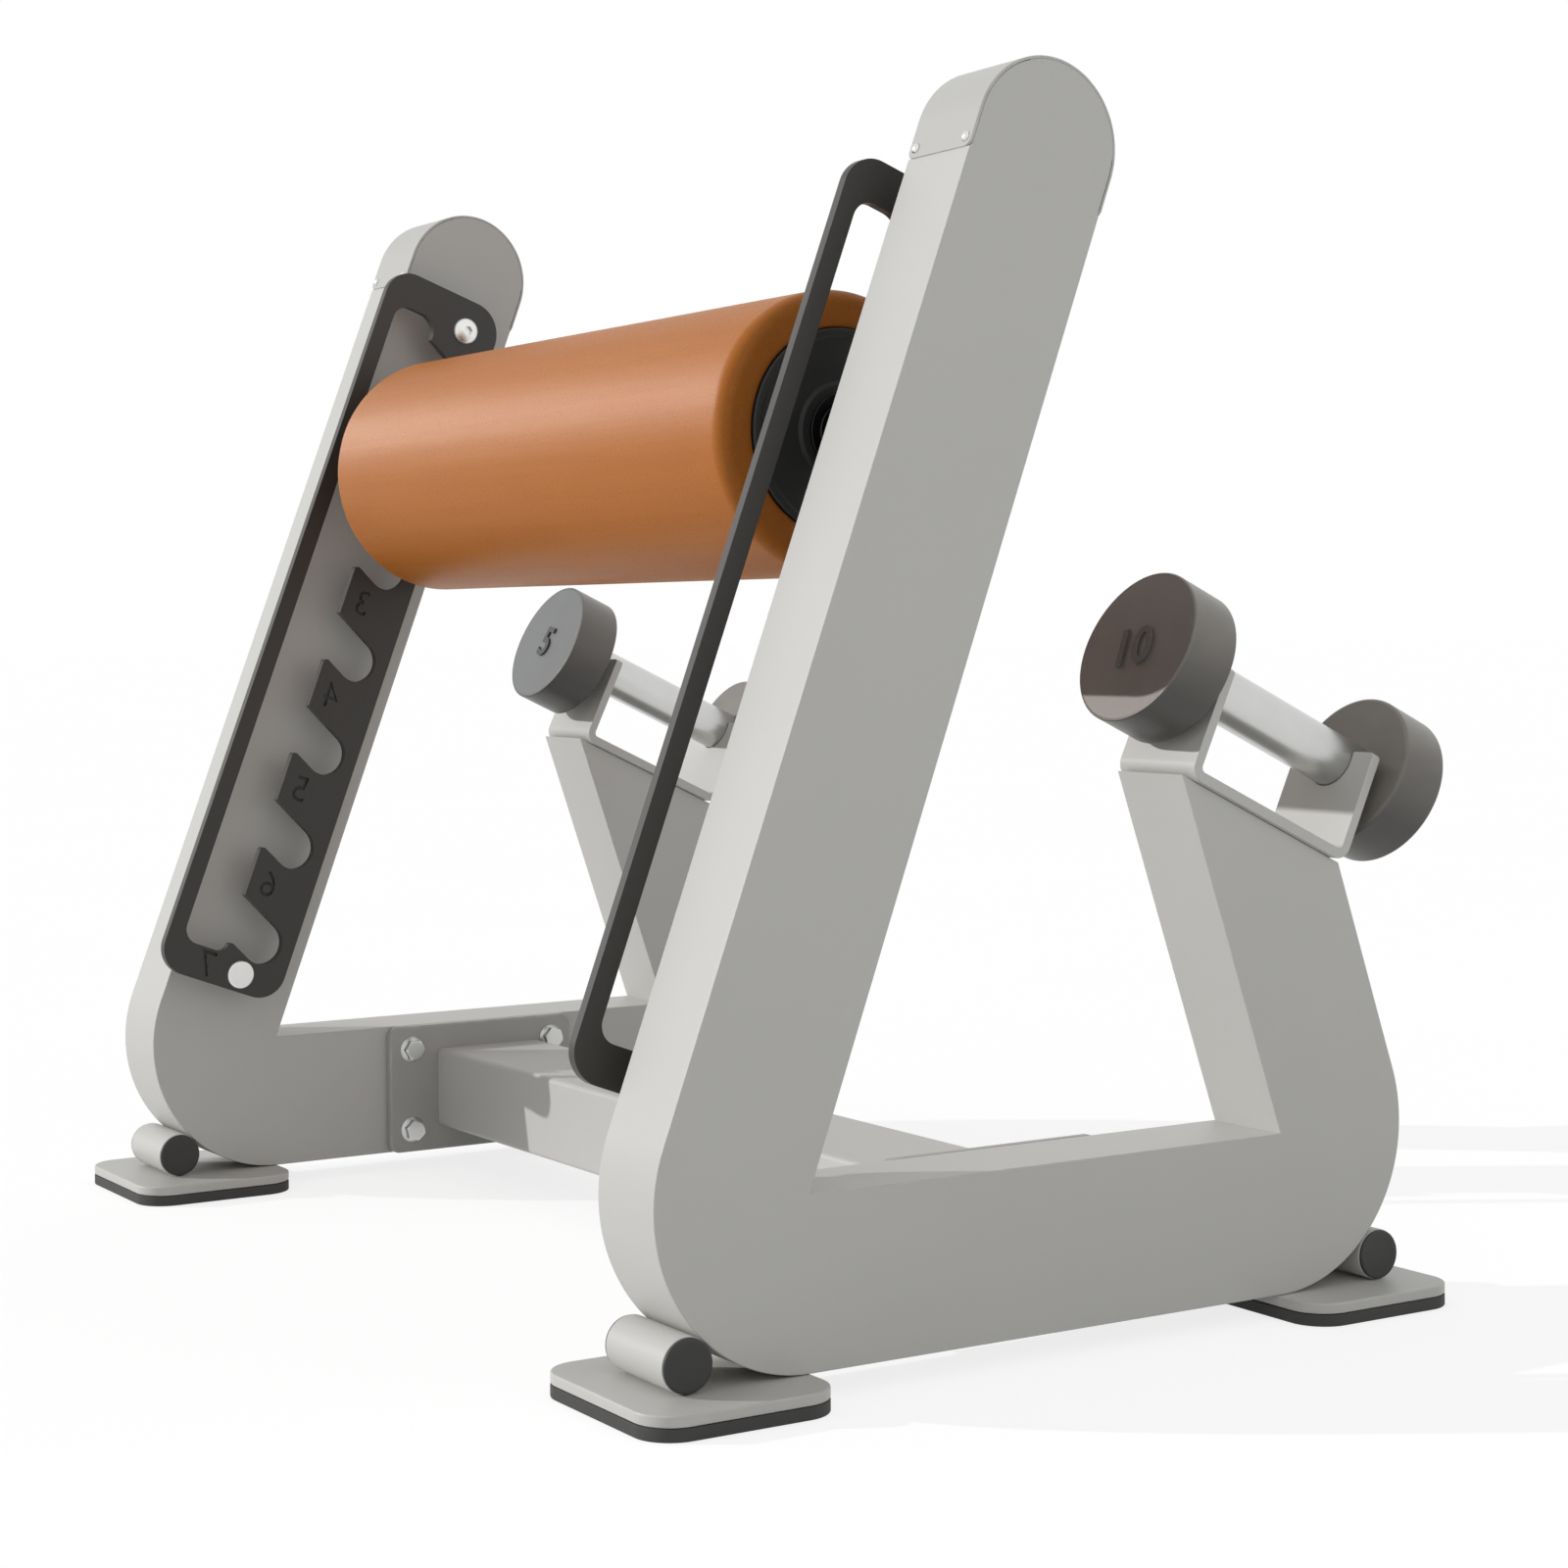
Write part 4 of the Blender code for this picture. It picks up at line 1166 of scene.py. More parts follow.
@dataclass
class Studio:
    """The photograph's camera, a low sun, an even sky, two lamps and a pale floor."""

    location: Corner = (2.1343, -1.2770, 0.5181)
    yaw: float = 58.237
    pitch: float = -0.658
    roll: float = -0.436
    lens: float = 67.27
    sensor: float = 36.0
    shift: tuple[float, float] = (0.0209, -0.0800)
    hook: Corner = (0.0, 0.0, 3.0)
    sun_towards: Corner = (-0.544, -0.756, 0.363)
    sun_strength: float = 1.88
    sun_angle: float = 0.6
    sky: float = 0.45
    side_lamp: Corner = (1.7, 0.3, 0.9)
    side_lamp_aim: Corner = (0.0, 0.0, 0.45)
    side_lamp_size: float = 1.0
    side_lamp_power: float = 1.7
    band_towards: Corner = (-0.86, -0.38, 0.33)
    band_strength: float = 0.70
    band_angle: float = 18.0
    floor_tone: float = 0.80
    floor_glow: float = 1.30
    floor_share: float = 0.60
    floor_level: float = -0.0002
    floor_radius: float = 80.0

    def build(self) -> None:
        """Make the camera, the light and the floor."""
        self._camera()
        self._light()
        self._floor()

    def _camera(self) -> None:
        """Make the scene's camera."""
        data = bpy.data.cameras.new("photo_camera")
        data.lens = self.lens
        data.sensor_width = self.sensor
        data.shift_x, data.shift_y = self.shift
        data.clip_end = self.floor_radius * 5
        camera = linked("photo_camera", data)
        yaw, pitch, roll = (math.radians(angle) for angle in (self.yaw, self.pitch, self.roll))
        level = Matrix.Translation(self.location) @ Matrix.Rotation(yaw, 4, "Z")
        aimed = level @ Matrix.Rotation(math.pi / 2 + pitch, 4, "X")
        camera.matrix_world = aimed @ Matrix.Rotation(roll, 4, "Z")
        bpy.context.scene.camera = camera

    def _seen(self, wiring: Wiring) -> Value:
        """Tell apart the rays that see the background: camera, glossy and transmission rays.

        Args:
            wiring: the node tree that the mask is for.

        Returns:
            1 for these rays and 0 for the others.
        """
        rays = wiring.node("ShaderNodeLightPath").outputs
        total = Value(wiring, rays["Is Camera Ray"]) + Value(wiring, rays["Is Glossy Ray"])
        return (total + Value(wiring, rays["Is Transmission Ray"])).clamped()

    def _light(self) -> None:
        """Make the sun, the side lamp and the sky."""
        data = bpy.data.lights.new("sun", "SUN")
        data.energy = self.sun_strength
        data.angle = math.radians(self.sun_angle)
        self._hang(data, Vector(self.hook), Vector(self.sun_towards))
        data = bpy.data.lights.new("side_lamp", "AREA")
        data.shape = "SQUARE"
        data.size = self.side_lamp_size
        data.energy = self.side_lamp_power
        place = Vector(self.side_lamp)
        self._hang(data, place, place - Vector(self.side_lamp_aim)).visible_camera = False
        world = bpy.data.worlds.new("sky")
        world.use_nodes = True
        bpy.context.scene.world = world
        wiring = Wiring(world.node_tree)
        wiring.tree.nodes.clear()
        level = self._seen(wiring) * (1.0 - self.sky) + self.sky
        inputs = {"Color": (1.0, 1.0, 1.0, 1.0), "Strength": level}
        sky = wiring.node("ShaderNodeBackground", inputs=inputs)
        wiring.node("ShaderNodeOutputWorld", inputs={"Surface": sky.outputs[0]})

    def band(self, piece: bpy.types.Object) -> None:
        """Hang a wide far lamp that only shows as a soft band of gloss on one piece.

        Args:
            piece: the piece that it shines on.
        """
        data = bpy.data.lights.new("band_lamp", "SUN")
        data.energy = self.band_strength
        data.angle = math.radians(self.band_angle)
        lamp = self._hang(data, Vector(self.hook), Vector(self.band_towards))
        lamp.visible_diffuse = False
        lit = bpy.data.collections.new("band_lit")
        lit.objects.link(piece)
        lamp.light_linking.receiver_collection = lit

    def _hang(self, data: bpy.types.Light, place: Vector, back: Vector) -> bpy.types.Object:
        """Put a lamp in the scene.

        Args:
            data: the lamp.
            place: where it hangs.
            back: the direction that it shines away from.

        Returns:
            The lamp's object.
        """
        lamp = linked(data.name, data)
        lamp.location = place
        lamp.rotation_mode = "QUATERNION"
        lamp.rotation_quaternion = back.to_track_quat("Z", "Y")
        return lamp

    def _floor(self) -> None:
        """Make the floor, white to the camera and still carrying the stand's shadow."""
        shape = bmesh.new()
        rim = arc((0, 0), self.floor_radius, 0, 6.2, 62)
        shape.faces.new([shape.verts.new((*point, self.floor_level)) for point in rim])
        mesh = bpy.data.meshes.new("floor")
        shape.to_mesh(mesh)
        shape.free()
        floor = linked("floor", mesh)
        recipe = Recipe("pale_floor")
        recipe.tree.nodes.remove(recipe.shader)
        tone = recipe.tones(recipe.noise(1.5, 2.0), (self.floor_tone,) * 3, 0.98, 1.02)
        matt = recipe.node("ShaderNodeBsdfDiffuse", inputs={"Color": tone})
        inputs = {"Color": (1.0, 1.0, 1.0, 1.0), "Strength": self.floor_glow}
        glow = recipe.node("ShaderNodeEmission", inputs=inputs)
        share = self._seen(recipe) * self.floor_share
        inputs = {0: share, 1: matt.outputs[0], 2: glow.outputs[0]}
        mixed = recipe.node("ShaderNodeMixShader", inputs=inputs)
        output = next(item for item in recipe.tree.nodes if item.type == "OUTPUT_MATERIAL")
        recipe.feed(output.inputs["Surface"], mixed.outputs[0])
        mesh.materials.append(recipe.material)


@dataclass(frozen=True)
class Fastener:
    """One kind of small fastener, drawn outward from its seat at the origin along Z."""

    name: str
    finish: Finish
    radius: float
    height: float
    washer: float = 0.0
    washer_radius: float = 0.0
    hexagon: float = 0.0
    socket: float = 0.0
    socket_depth: float = 0.6
    chamfer: float = 0.0
    faces: int = 48

    def template(self) -> bpy.types.Object:
        """Draw one fastener.

        Returns:
            Its mesh object.
        """
        place = Matrix.Rotation(-math.pi / 2, 4, "Y")
        if self.hexagon:
            return self._hexagon_bolt(place)
        if self.chamfer:
            rim = (self.height, self.radius, self.chamfer)
            corners = [(0.0, 0.0, 0.0), (0.0, self.radius, 0.0), rim, (self.height, 0.0, 0.0)]
            return solid(self.name, turned(rounded(corners, 22.5), self.faces, place))
        profile = [(along + 0.0002, radius) for along, radius in dome(self.radius, self.height)]
        piece = solid(self.name, turned([(0.0, 0.0), *profile], self.faces, place))
        if self.socket:
            floor = self.height - self.height * self.socket_depth
            prism = slab(hexagon(self.socket), floor, self.height * 2, 0.0, Axis.Z)
            carved(piece, solid("socket", prism))
        return piece

    def _hexagon_bolt(self, place: Matrix) -> bpy.types.Object:
        """Draw a hexagon head with chamfered corners on a domed washer.

        Args:
            place: the frame that it is turned in.

        Returns:
            Its mesh object.
        """
        washer, across = self.washer, self.hexagon
        corners = [
            (0.0, 0.0, 0.0),
            (0.0, self.washer_radius, 0.0003),
            (washer * 0.3, self.washer_radius, 0.0004),
            (washer, across * 0.56, 0.0004),
            (washer + 0.001, across * 0.40, 0.0),
            (washer + 0.001, 0.0, 0.0),
        ]
        piece = solid(self.name, turned(rounded(corners, 20.0), self.faces, place))
        top = washer + self.height
        head = solid("head", slab(hexagon(across), washer * 0.5, top, 0.0, Axis.Z))
        profile = [(washer * 0.4, 0.0), (washer * 0.4, across), (top - 0.0012, across * 0.585)]
        profile += [(top - 0.0004, across * 0.51), (top, across * 0.44), (top - 0.0002, 0.0)]
        carved(head, solid("chamfer", turned(profile, self.faces, place)), "INTERSECT")
        return carved(piece, edged(head, 0.0003, 2), "UNION")


FLANGE_BOLT = Fastener(
    "flange_bolt", ZINC, 0.012, 0.0065, washer=0.0035, washer_radius=0.012, hexagon=0.0175
)
SOCKET_BOLT = Fastener("socket_bolt", SATIN, 0.0125, 0.006, socket=0.008, faces=32)
PLAIN_BOLT = Fastener("plain_bolt", SATIN, 0.0125, 0.004, chamfer=0.0012)
RIVET = Fastener("rivet", CHROME, 0.0039, 0.0023, faces=32)


class FastenerPattern(Pattern):
    """Sets one fastener on every point of a mesh, facing each point's outward direction."""

    def __init__(self) -> None:
        """Build the tree."""
        numbers = {"Turn": "NodeSocketFloat", "Seed": "NodeSocketInt"}
        super().__init__("fastener_pattern", {"Fastener": "NodeSocketObject", **numbers})
        settings = {"data_type": "FLOAT_VECTOR"}
        outward = self.node("GeometryNodeInputNamedAttribute", settings, {"Name": "outward"})
        inputs = {"Vector": outward.outputs[0]}
        aligned = self.node("FunctionNodeAlignRotationToVector", {"axis": "Z"}, inputs)
        inputs = {3: self.entry["Turn"], "Seed": self.entry["Seed"]}
        chance = self.node("FunctionNodeRandomValue", {"data_type": "FLOAT"}, inputs)
        spin = self.node("ShaderNodeCombineXYZ", inputs={"Z": chance.outputs[1]})
        euler = self.node("FunctionNodeEulerToRotation", inputs={0: spin.outputs[0]})
        inputs = {0: aligned.outputs[0], 1: euler.outputs[0]}
        rotated = self.node("FunctionNodeRotateRotation", {"rotation_space": "LOCAL"}, inputs)
        shown = self.node("GeometryNodeObjectInfo", inputs={"Object": self.entry["Fastener"]})
        inputs = {"Points": self.entry["Geometry"], "Instance": shown.outputs["Geometry"]}
        inputs["Rotation"] = rotated.outputs[0]
        placed = self.node("GeometryNodeInstanceOnPoints", inputs=inputs)
        self.close(placed.outputs[0])

    def set(
        self,
        name: str,
        kind: Fastener,
        points: Sequence[tuple[Vector, Vector]],
        nodes: Iterable[str],
        seed: int = 1,
    ) -> bpy.types.Object:
        """Set fasteners on the stand.

        Args:
            name: the piece's name.
            kind: the fastener.
            points: the seat and outward direction of each.
            nodes: the CAD nodes that they stand for.
            seed: picks how each is turned.

        Returns:
            The piece.
        """
        template = kind.template()
        start = bpy.data.meshes.new(name)
        start.from_pydata([seat for seat, _ in points], [], [])
        noted(start, "outward", "POINT", [value for _, outward in points for value in outward])
        turn = math.pi / 3 if kind.hexagon or kind.socket else 0.0
        values = {"Fastener": template, "Turn": turn, "Seed": seed}
        piece = self.run(start, name, {**values, "Finish": PALETTE.material(kind.finish)})
        removed(template)
        return fitted(smoothed(piece, 35.0), kind.finish, Body.STAND, nodes)


@dataclass
class SideFrame:
    """One painted side frame, bent from a box section: leaning upright, level base and rear arm."""

    layout: Layout
    side: Side
    fasteners: FastenerPattern
    edge: float = 0.0011
    cap_thickness: float = 0.002
    cap_proud: float = 0.001
    cap_skirt: float = 0.030
    cap_corner: float = 0.006
    cap_edge: float = 0.0004
    cap_shy: float = 0.00005
    rivet_setback: float = 0.0075
    rivet_spacing: float = 0.060
    # The cap's two side faces take the light edge colour as a painted highlight; its chamfers get
    # edge wear.
    cap_marks: tuple[float, ...] = (LIT_WALL, RUBBED, FLAT, RUBBED, LIT_WALL, FLAT)
    cap_steps: int = 96
    heel_steps: int = 48
    top_steps: int = 64
    rear_steps_in_sight: int = 4
    front_steps_in_sight: int = 20

    def build(self) -> None:
        """Make the frame, its cap and the cap's rivets."""
        size, label = self.layout, self.side.label
        low, high = self.side.span(size.inner, size.outer)
        outline = self._outline()
        first = len(outline) - self.top_steps + self.rear_steps_in_sight
        hidden = range(first, len(outline) - self.front_steps_in_sight)
        tube = slab(outline, low, high, self.edge, square=hidden)
        nodes = [f"{label}_{part}" for part in ("upright", "base", "arm")]
        dressed(f"{label}_side_frame", tube, FRAME_PAINT, Body.STAND, nodes)
        dressed(f"{label}_cap", self._cap(), CAP_PAINT, Body.STAND, [f"{label}_end_cap"])
        points = []
        for along in (self.rivet_setback, self._cap_length() - self.rivet_setback):
            seat, outward = self._wrap(along)
            outward = size.upright.to_3x3() @ Vector((0.0, *outward))
            for across in (-self.rivet_spacing / 2, self.rivet_spacing / 2):
                x = self.side.value * size.middle + across
                points.append((size.on_upright(x, *seat), outward))
        self.fasteners.set(f"{label}_cap_rivets", RIVET, points, [f"{label}_end_cap"])

    def _outline(self) -> list[Vector]:
        """Draw the side view of the whole frame.

        Returns:
            The outline, whose last points are the round top's, from its rear to its front.
        """
        size = self.layout
        lean, arm_lean = math.radians(size.upright_lean), math.radians(size.arm_lean)
        slope = math.tan(arm_lean + math.radians(size.cut_tilt))
        pocket = self.cap_thickness + size.gap - self.cap_proud
        middle = size.width / 2
        shoulder = size.upright_length - self.cap_skirt

        def lifted(place: Matrix, points: Iterable[Sequence[float]]) -> list[Vector]:
            """Return points of a slanted frame in the side view."""
            return [(place @ Vector((0.0, *point))).yz for point in points]

        front = (size.front_corner, size.base_top)
        rear = (size.rear_corner, size.base_top)
        outline = lifted(size.upright, [(pocket, shoulder), (0.0, shoulder)])
        outline += arc(front, size.width, math.pi - lean, math.pi * 3 / 2, self.heel_steps)
        outline += arc(rear, size.width, math.pi * 3 / 2, math.pi * 2 + arm_lean, self.heel_steps)
        cut = [(size.width, size.arm_length - size.width * slope), (0.0, size.arm_length)]
        outline += lifted(size.arm, cut)
        outline += [Vector(rear), Vector(front)]
        outline += lifted(size.upright, [(size.width, shoulder), (size.width - pocket, shoulder)])
        top = (middle, size.upright_length)
        outline += lifted(size.upright, arc(top, middle - pocket, 0.0, math.pi, self.top_steps))
        return outline

    def _cap_length(self) -> float:
        """Return the length of the cap's outer side from end to end."""
        return 2 * self.cap_skirt + math.pi * (self.layout.width / 2 + self.cap_proud)

    def _wrap(self, along: float) -> tuple[Vector, Vector]:
        """Return the point and outward direction at a length along the cap's outer side.

        Args:
            along: the length from its front end.

        Returns:
            Both in the upright's frame.
        """
        width, length = self.layout.width, self._cap_length()
        bottom = self.layout.upright_length - self.cap_skirt
        if along <= self.cap_skirt:
            return Vector((-self.cap_proud, bottom + along)), Vector((-1.0, 0.0))
        if along >= length - self.cap_skirt:
            return Vector((width + self.cap_proud, bottom + length - along)), Vector((1.0, 0.0))
        radius = width / 2 + self.cap_proud
        angle = math.pi - (along - self.cap_skirt) / radius
        outward = Vector((math.cos(angle), math.sin(angle)))
        centre = Vector((width / 2, self.layout.upright_length))
        return centre + outward * (radius - self.cap_shy), outward

    def _cap(self) -> Shape:
        """Bend the sheet that wraps the round top, with rounded corners and soft rims.

        Returns:
            Its shape.
        """
        half, length = self.layout.depth / 2, self._cap_length()
        corner = []
        for count in range(9):
            turn = math.pi / 2 * count / 8
            across = half - self.cap_corner * (1 - math.sin(turn))
            corner.append((self.cap_corner * (1 - math.cos(turn)), across))
        curved, steps = length - 2 * self.cap_skirt, self.cap_steps
        stations = corner + [
            (self.cap_skirt + curved * count / steps, half) for count in range(steps + 1)
        ]
        stations += [(length - along, across) for along, across in reversed(corner)]
        shape = bmesh.new()
        layer = shape.faces.layers.float.new("edge")
        rows = []
        rim, thickness = self.cap_edge, self.cap_thickness
        for along, width in stations:
            point, outward = self._wrap(along)
            section = [(-width, rim), (-width + rim, 0.0), (width - rim, 0.0), (width, rim)]
            section += [(width, thickness), (-width, thickness)]
            row = []
            for across, depth in section:
                x = self.side.value * self.layout.middle + across
                place = self.layout.on_upright(x, *(point - outward * depth))
                row.append(shape.verts.new(place))
            rows.append(row)
        for before, after in zip(rows, rows[1:]):
            for index, mark in enumerate(self.cap_marks):
                loop = (before[index - 1], before[index], after[index], after[index - 1])
                shape.faces.new(loop)[layer] = mark
        shape.faces.new(rows[0])
        shape.faces.new(rows[-1])
        return shape


@dataclass
class Foot:
    """One foot: rubber pad, steel sole, and a round tube above them with a plug in each end."""

    layout: Layout
    side: Side
    end: End
    sole_thickness: float = 0.008
    pad_thickness: float = 0.009
    length: float = 0.145
    corner: float = 0.028
    overhang_inner: float = 0.046
    overhang_outer: float = 0.042
    front_reach: float = 0.144
    rear_reach: float = 0.141
    tube_radius: float = 0.019
    tube_wall: float = 0.0025
    tube_edge: float = 0.0007
    pad_edge: float = 0.0010
    sole_edge: float = 0.0014
    plug_thickness: float = 0.002
    plug_inset: float = 0.0005
    plug_length: float = 0.010
    plug_dish: float = 0.0006
    faces: int = 72

    def build(self) -> None:
        """Make the foot's pieces."""
        size = self.layout
        name = f"{self.side.label}_{self.end.label}"
        if self.end is End.FRONT:
            start = size.front_corner - self.front_reach
        else:
            start = size.rear_corner + self.rear_reach - self.length
        near, far = size.inner - self.overhang_inner, size.outer + self.overhang_outer
        low, high = self.side.span(near, far)
        outline = rounded(box(low, high, start, start + self.length, self.corner), 6.0)
        pad = slab(outline, 0.0, self.pad_thickness, self.pad_edge, Axis.Z)
        dressed(f"{name}_rubber", pad, RUBBER, Body.STAND, [f"{name}_foot_pad"])
        bottom = self.pad_thickness + size.gap
        top = bottom + self.sole_thickness
        sole = slab(outline, bottom, top, self.sole_edge, Axis.Z)
        dressed(f"{name}_sole", sole, FRAME_PAINT, Body.STAND, [f"{name}_foot_sole"])

        level = top + size.gap + self.tube_radius
        reach = size.width + size.gap + self.tube_radius
        offset = math.sqrt(reach**2 - (size.base_top - level) ** 2)
        y = size.front_corner - offset if self.end is End.FRONT else size.rear_corner + offset
        place = Matrix.Translation((0.0, y, level))
        low, high = self.side.span(size.inner, size.outer)
        bore = self.tube_radius - self.tube_wall
        profile = rounded(box(low, high, bore, self.tube_radius, self.tube_edge), 30.0)
        tube = turned(profile, self.faces, place)
        dressed(f"{name}_tube", tube, FRAME_PAINT, Body.STAND, [f"{name}_foot_tube"])
        for label, face, way in (("inner", size.inner, -1), ("outer", size.outer, 1)):
            plug = self._plug(self.side.value * face, self.side.value * way, place)
            dressed(f"{name}_{label}_cap", plug, PLUG, Body.STAND, [f"{name}_{label}_plug"])

    def _plug(self, face: float, way: int, place: Matrix) -> Shape:
        """Draw a push-in plug with a rounded rim and a slightly dished face.

        Args:
            face: the tube's end along X.
            way: the direction that the plug faces.
            place: the tube's frame.

        Returns:
            Its shape.
        """
        rim = self.tube_radius - self.plug_inset
        out = face + way * (self.layout.gap + self.plug_thickness)
        back, tip = face + way * self.layout.gap, face - way * self.plug_length
        stem = self.tube_radius - self.tube_wall - self.layout.gap
        corners = [
            (out - way * self.plug_dish, 0.0, 0.0),
            (out - way * self.plug_dish, rim * 0.72, 0.0),
            (out, rim * 0.80, 0.0),
            (out, rim, 0.0011),
            (back, rim, 0.0002),
            (back, stem, 0.0),
            (tip, stem, 0.0),
            (tip, 0.0, 0.0),
        ]
        return turned(rounded(corners, 22.5), self.faces, place)


@dataclass
class BeamJoint:
    """The cross beam and the two bolted flanges that it ends in."""

    layout: Layout
    fasteners: FastenerPattern
    beam_depth: float = 0.108
    beam_height: float = 0.074
    beam_corner: float = 0.0045
    beam_offset: float = 0.007
    flange_thickness: float = 0.009
    flange_length: float = 0.194
    flange_corner: float = 0.010
    flange_edge: float = 0.0022
    bolt_spacing_y: float = 0.149
    bolt_spacing_z: float = 0.0765

    def build(self) -> None:
        """Make the beam, both flanges and their bolts."""
        size = self.layout
        centre = (size.front_corner + size.rear_corner) / 2
        level = size.base_bottom + size.width / 2
        reach = size.inner - self.flange_thickness - 2 * size.gap
        middle = centre + self.beam_offset
        section = box(
            middle - self.beam_depth / 2,
            middle + self.beam_depth / 2,
            level - self.beam_height / 2,
            level + self.beam_height / 2,
            self.beam_corner,
        )
        beam = slab(rounded(section, 15.0), -reach, reach, 0.0)
        dressed("beam_tube", beam, FRAME_PAINT, Body.STAND, ["cross_beam"], 30.0)
        half, corner = self.flange_length / 2, self.flange_corner
        corners = box(centre - half, centre + half, size.base_bottom, size.base_top, corner)
        for side in Side:
            face = size.inner - size.gap - self.flange_thickness
            low, high = side.span(face, size.inner - size.gap)
            flange = slab(rounded(corners, 9.0), low, high, self.flange_edge)
            nodes = [f"{side.label}_beam_flange"]
            dressed(f"{side.label}_flange", flange, FLANGE_SHADED_PAINT, Body.STAND, nodes)
            points, nodes = [], []
            for place, a in (("front", -1), ("rear", 1)):
                for height, b in (("lower", -1), ("upper", 1)):
                    y = centre + a * self.bolt_spacing_y / 2
                    z = level + b * self.bolt_spacing_z / 2
                    points.append((Vector((side.value * face, y, z)), Vector((-side.value, 0, 0))))
                    nodes.append(f"{side.label}_{place}_{height}_bolt")
            name = f"{side.label}_flange_bolts"
            self.fasteners.set(name, FLANGE_BOLT, points, nodes, seed=3 + side.value)


class SlottedPlate(Pattern):
    """A plate cut from an outline, with one notch repeated up one side of its channel."""

    def __init__(self, finest: float = 0.00002) -> None:
        """Build the tree.

        Args:
            finest: points closer than this are one.
        """
        numbers = {"Count": "NodeSocketInt", "Pitch": "NodeSocketFloat"}
        objects = {"Notch": "NodeSocketObject", "Land": "NodeSocketObject"}
        sizes = {**objects, **numbers, "Thickness": "NodeSocketFloat"}
        super().__init__("slotted_plate", sizes)
        step = self.node("ShaderNodeCombineXYZ", inputs={"Y": self.entry["Pitch"]})
        inputs = {"Count": self.entry["Count"], "Offset": step.outputs[0]}
        line = self.node("GeometryNodeMeshLine", {"mode": "OFFSET"}, inputs)
        number = self.node("GeometryNodeInputIndex").outputs[0]
        subtract, less = {"operation": "SUBTRACT"}, {"operation": "LESS_THAN"}
        fewer = self.node("ShaderNodeMath", subtract, {0: self.entry["Count"], 1: 1.5})
        below = self.node("ShaderNodeMath", less, {0: number, 1: fewer.outputs[0]})
        joined = self.node("GeometryNodeJoinGeometry")
        self.feed(joined.inputs[0], self.entry["Geometry"])
        for label in ("Notch", "Land"):
            shown = self.node("GeometryNodeObjectInfo", inputs={"Object": self.entry[label]})
            inputs = {"Points": line.outputs[0], "Instance": shown.outputs["Geometry"]}
            placed = self.node("GeometryNodeInstanceOnPoints", inputs=inputs)
            if label == "Land":
                self.feed(placed.inputs["Selection"], below.outputs[0])
            self.feed(joined.inputs[0], placed.outputs[0])
        real = self.node("GeometryNodeRealizeInstances", inputs={"Geometry": joined.outputs[0]})
        inputs = {"Geometry": real.outputs[0], "Distance": finest}
        merged = self.node("GeometryNodeMergeByDistance", inputs=inputs)
        curve = self.node("GeometryNodeMeshToCurve", inputs={"Mesh": merged.outputs[0]})
        flat = self.node("GeometryNodeFillCurve", {"mode": "NGONS"}, {"Curve": curve.outputs[0]})
        up = self.node("ShaderNodeCombineXYZ", inputs={"Z": self.entry["Thickness"]})
        inputs = {"Mesh": flat.outputs[0], "Offset": up.outputs[0], "Individual": False}
        grown = self.node("GeometryNodeExtrudeMesh", {"mode": "FACES"}, inputs)
        under = self.node("GeometryNodeFlipFaces", inputs={"Mesh": flat.outputs[0]})
        both = self.node("GeometryNodeJoinGeometry", inputs={0: grown.outputs[0]})
        self.feed(both.inputs[0], under.outputs[0])
        inputs = {"Geometry": both.outputs[0], "Distance": finest}
        closed = self.node("GeometryNodeMergeByDistance", inputs=inputs)
        self.close(closed.outputs[0])


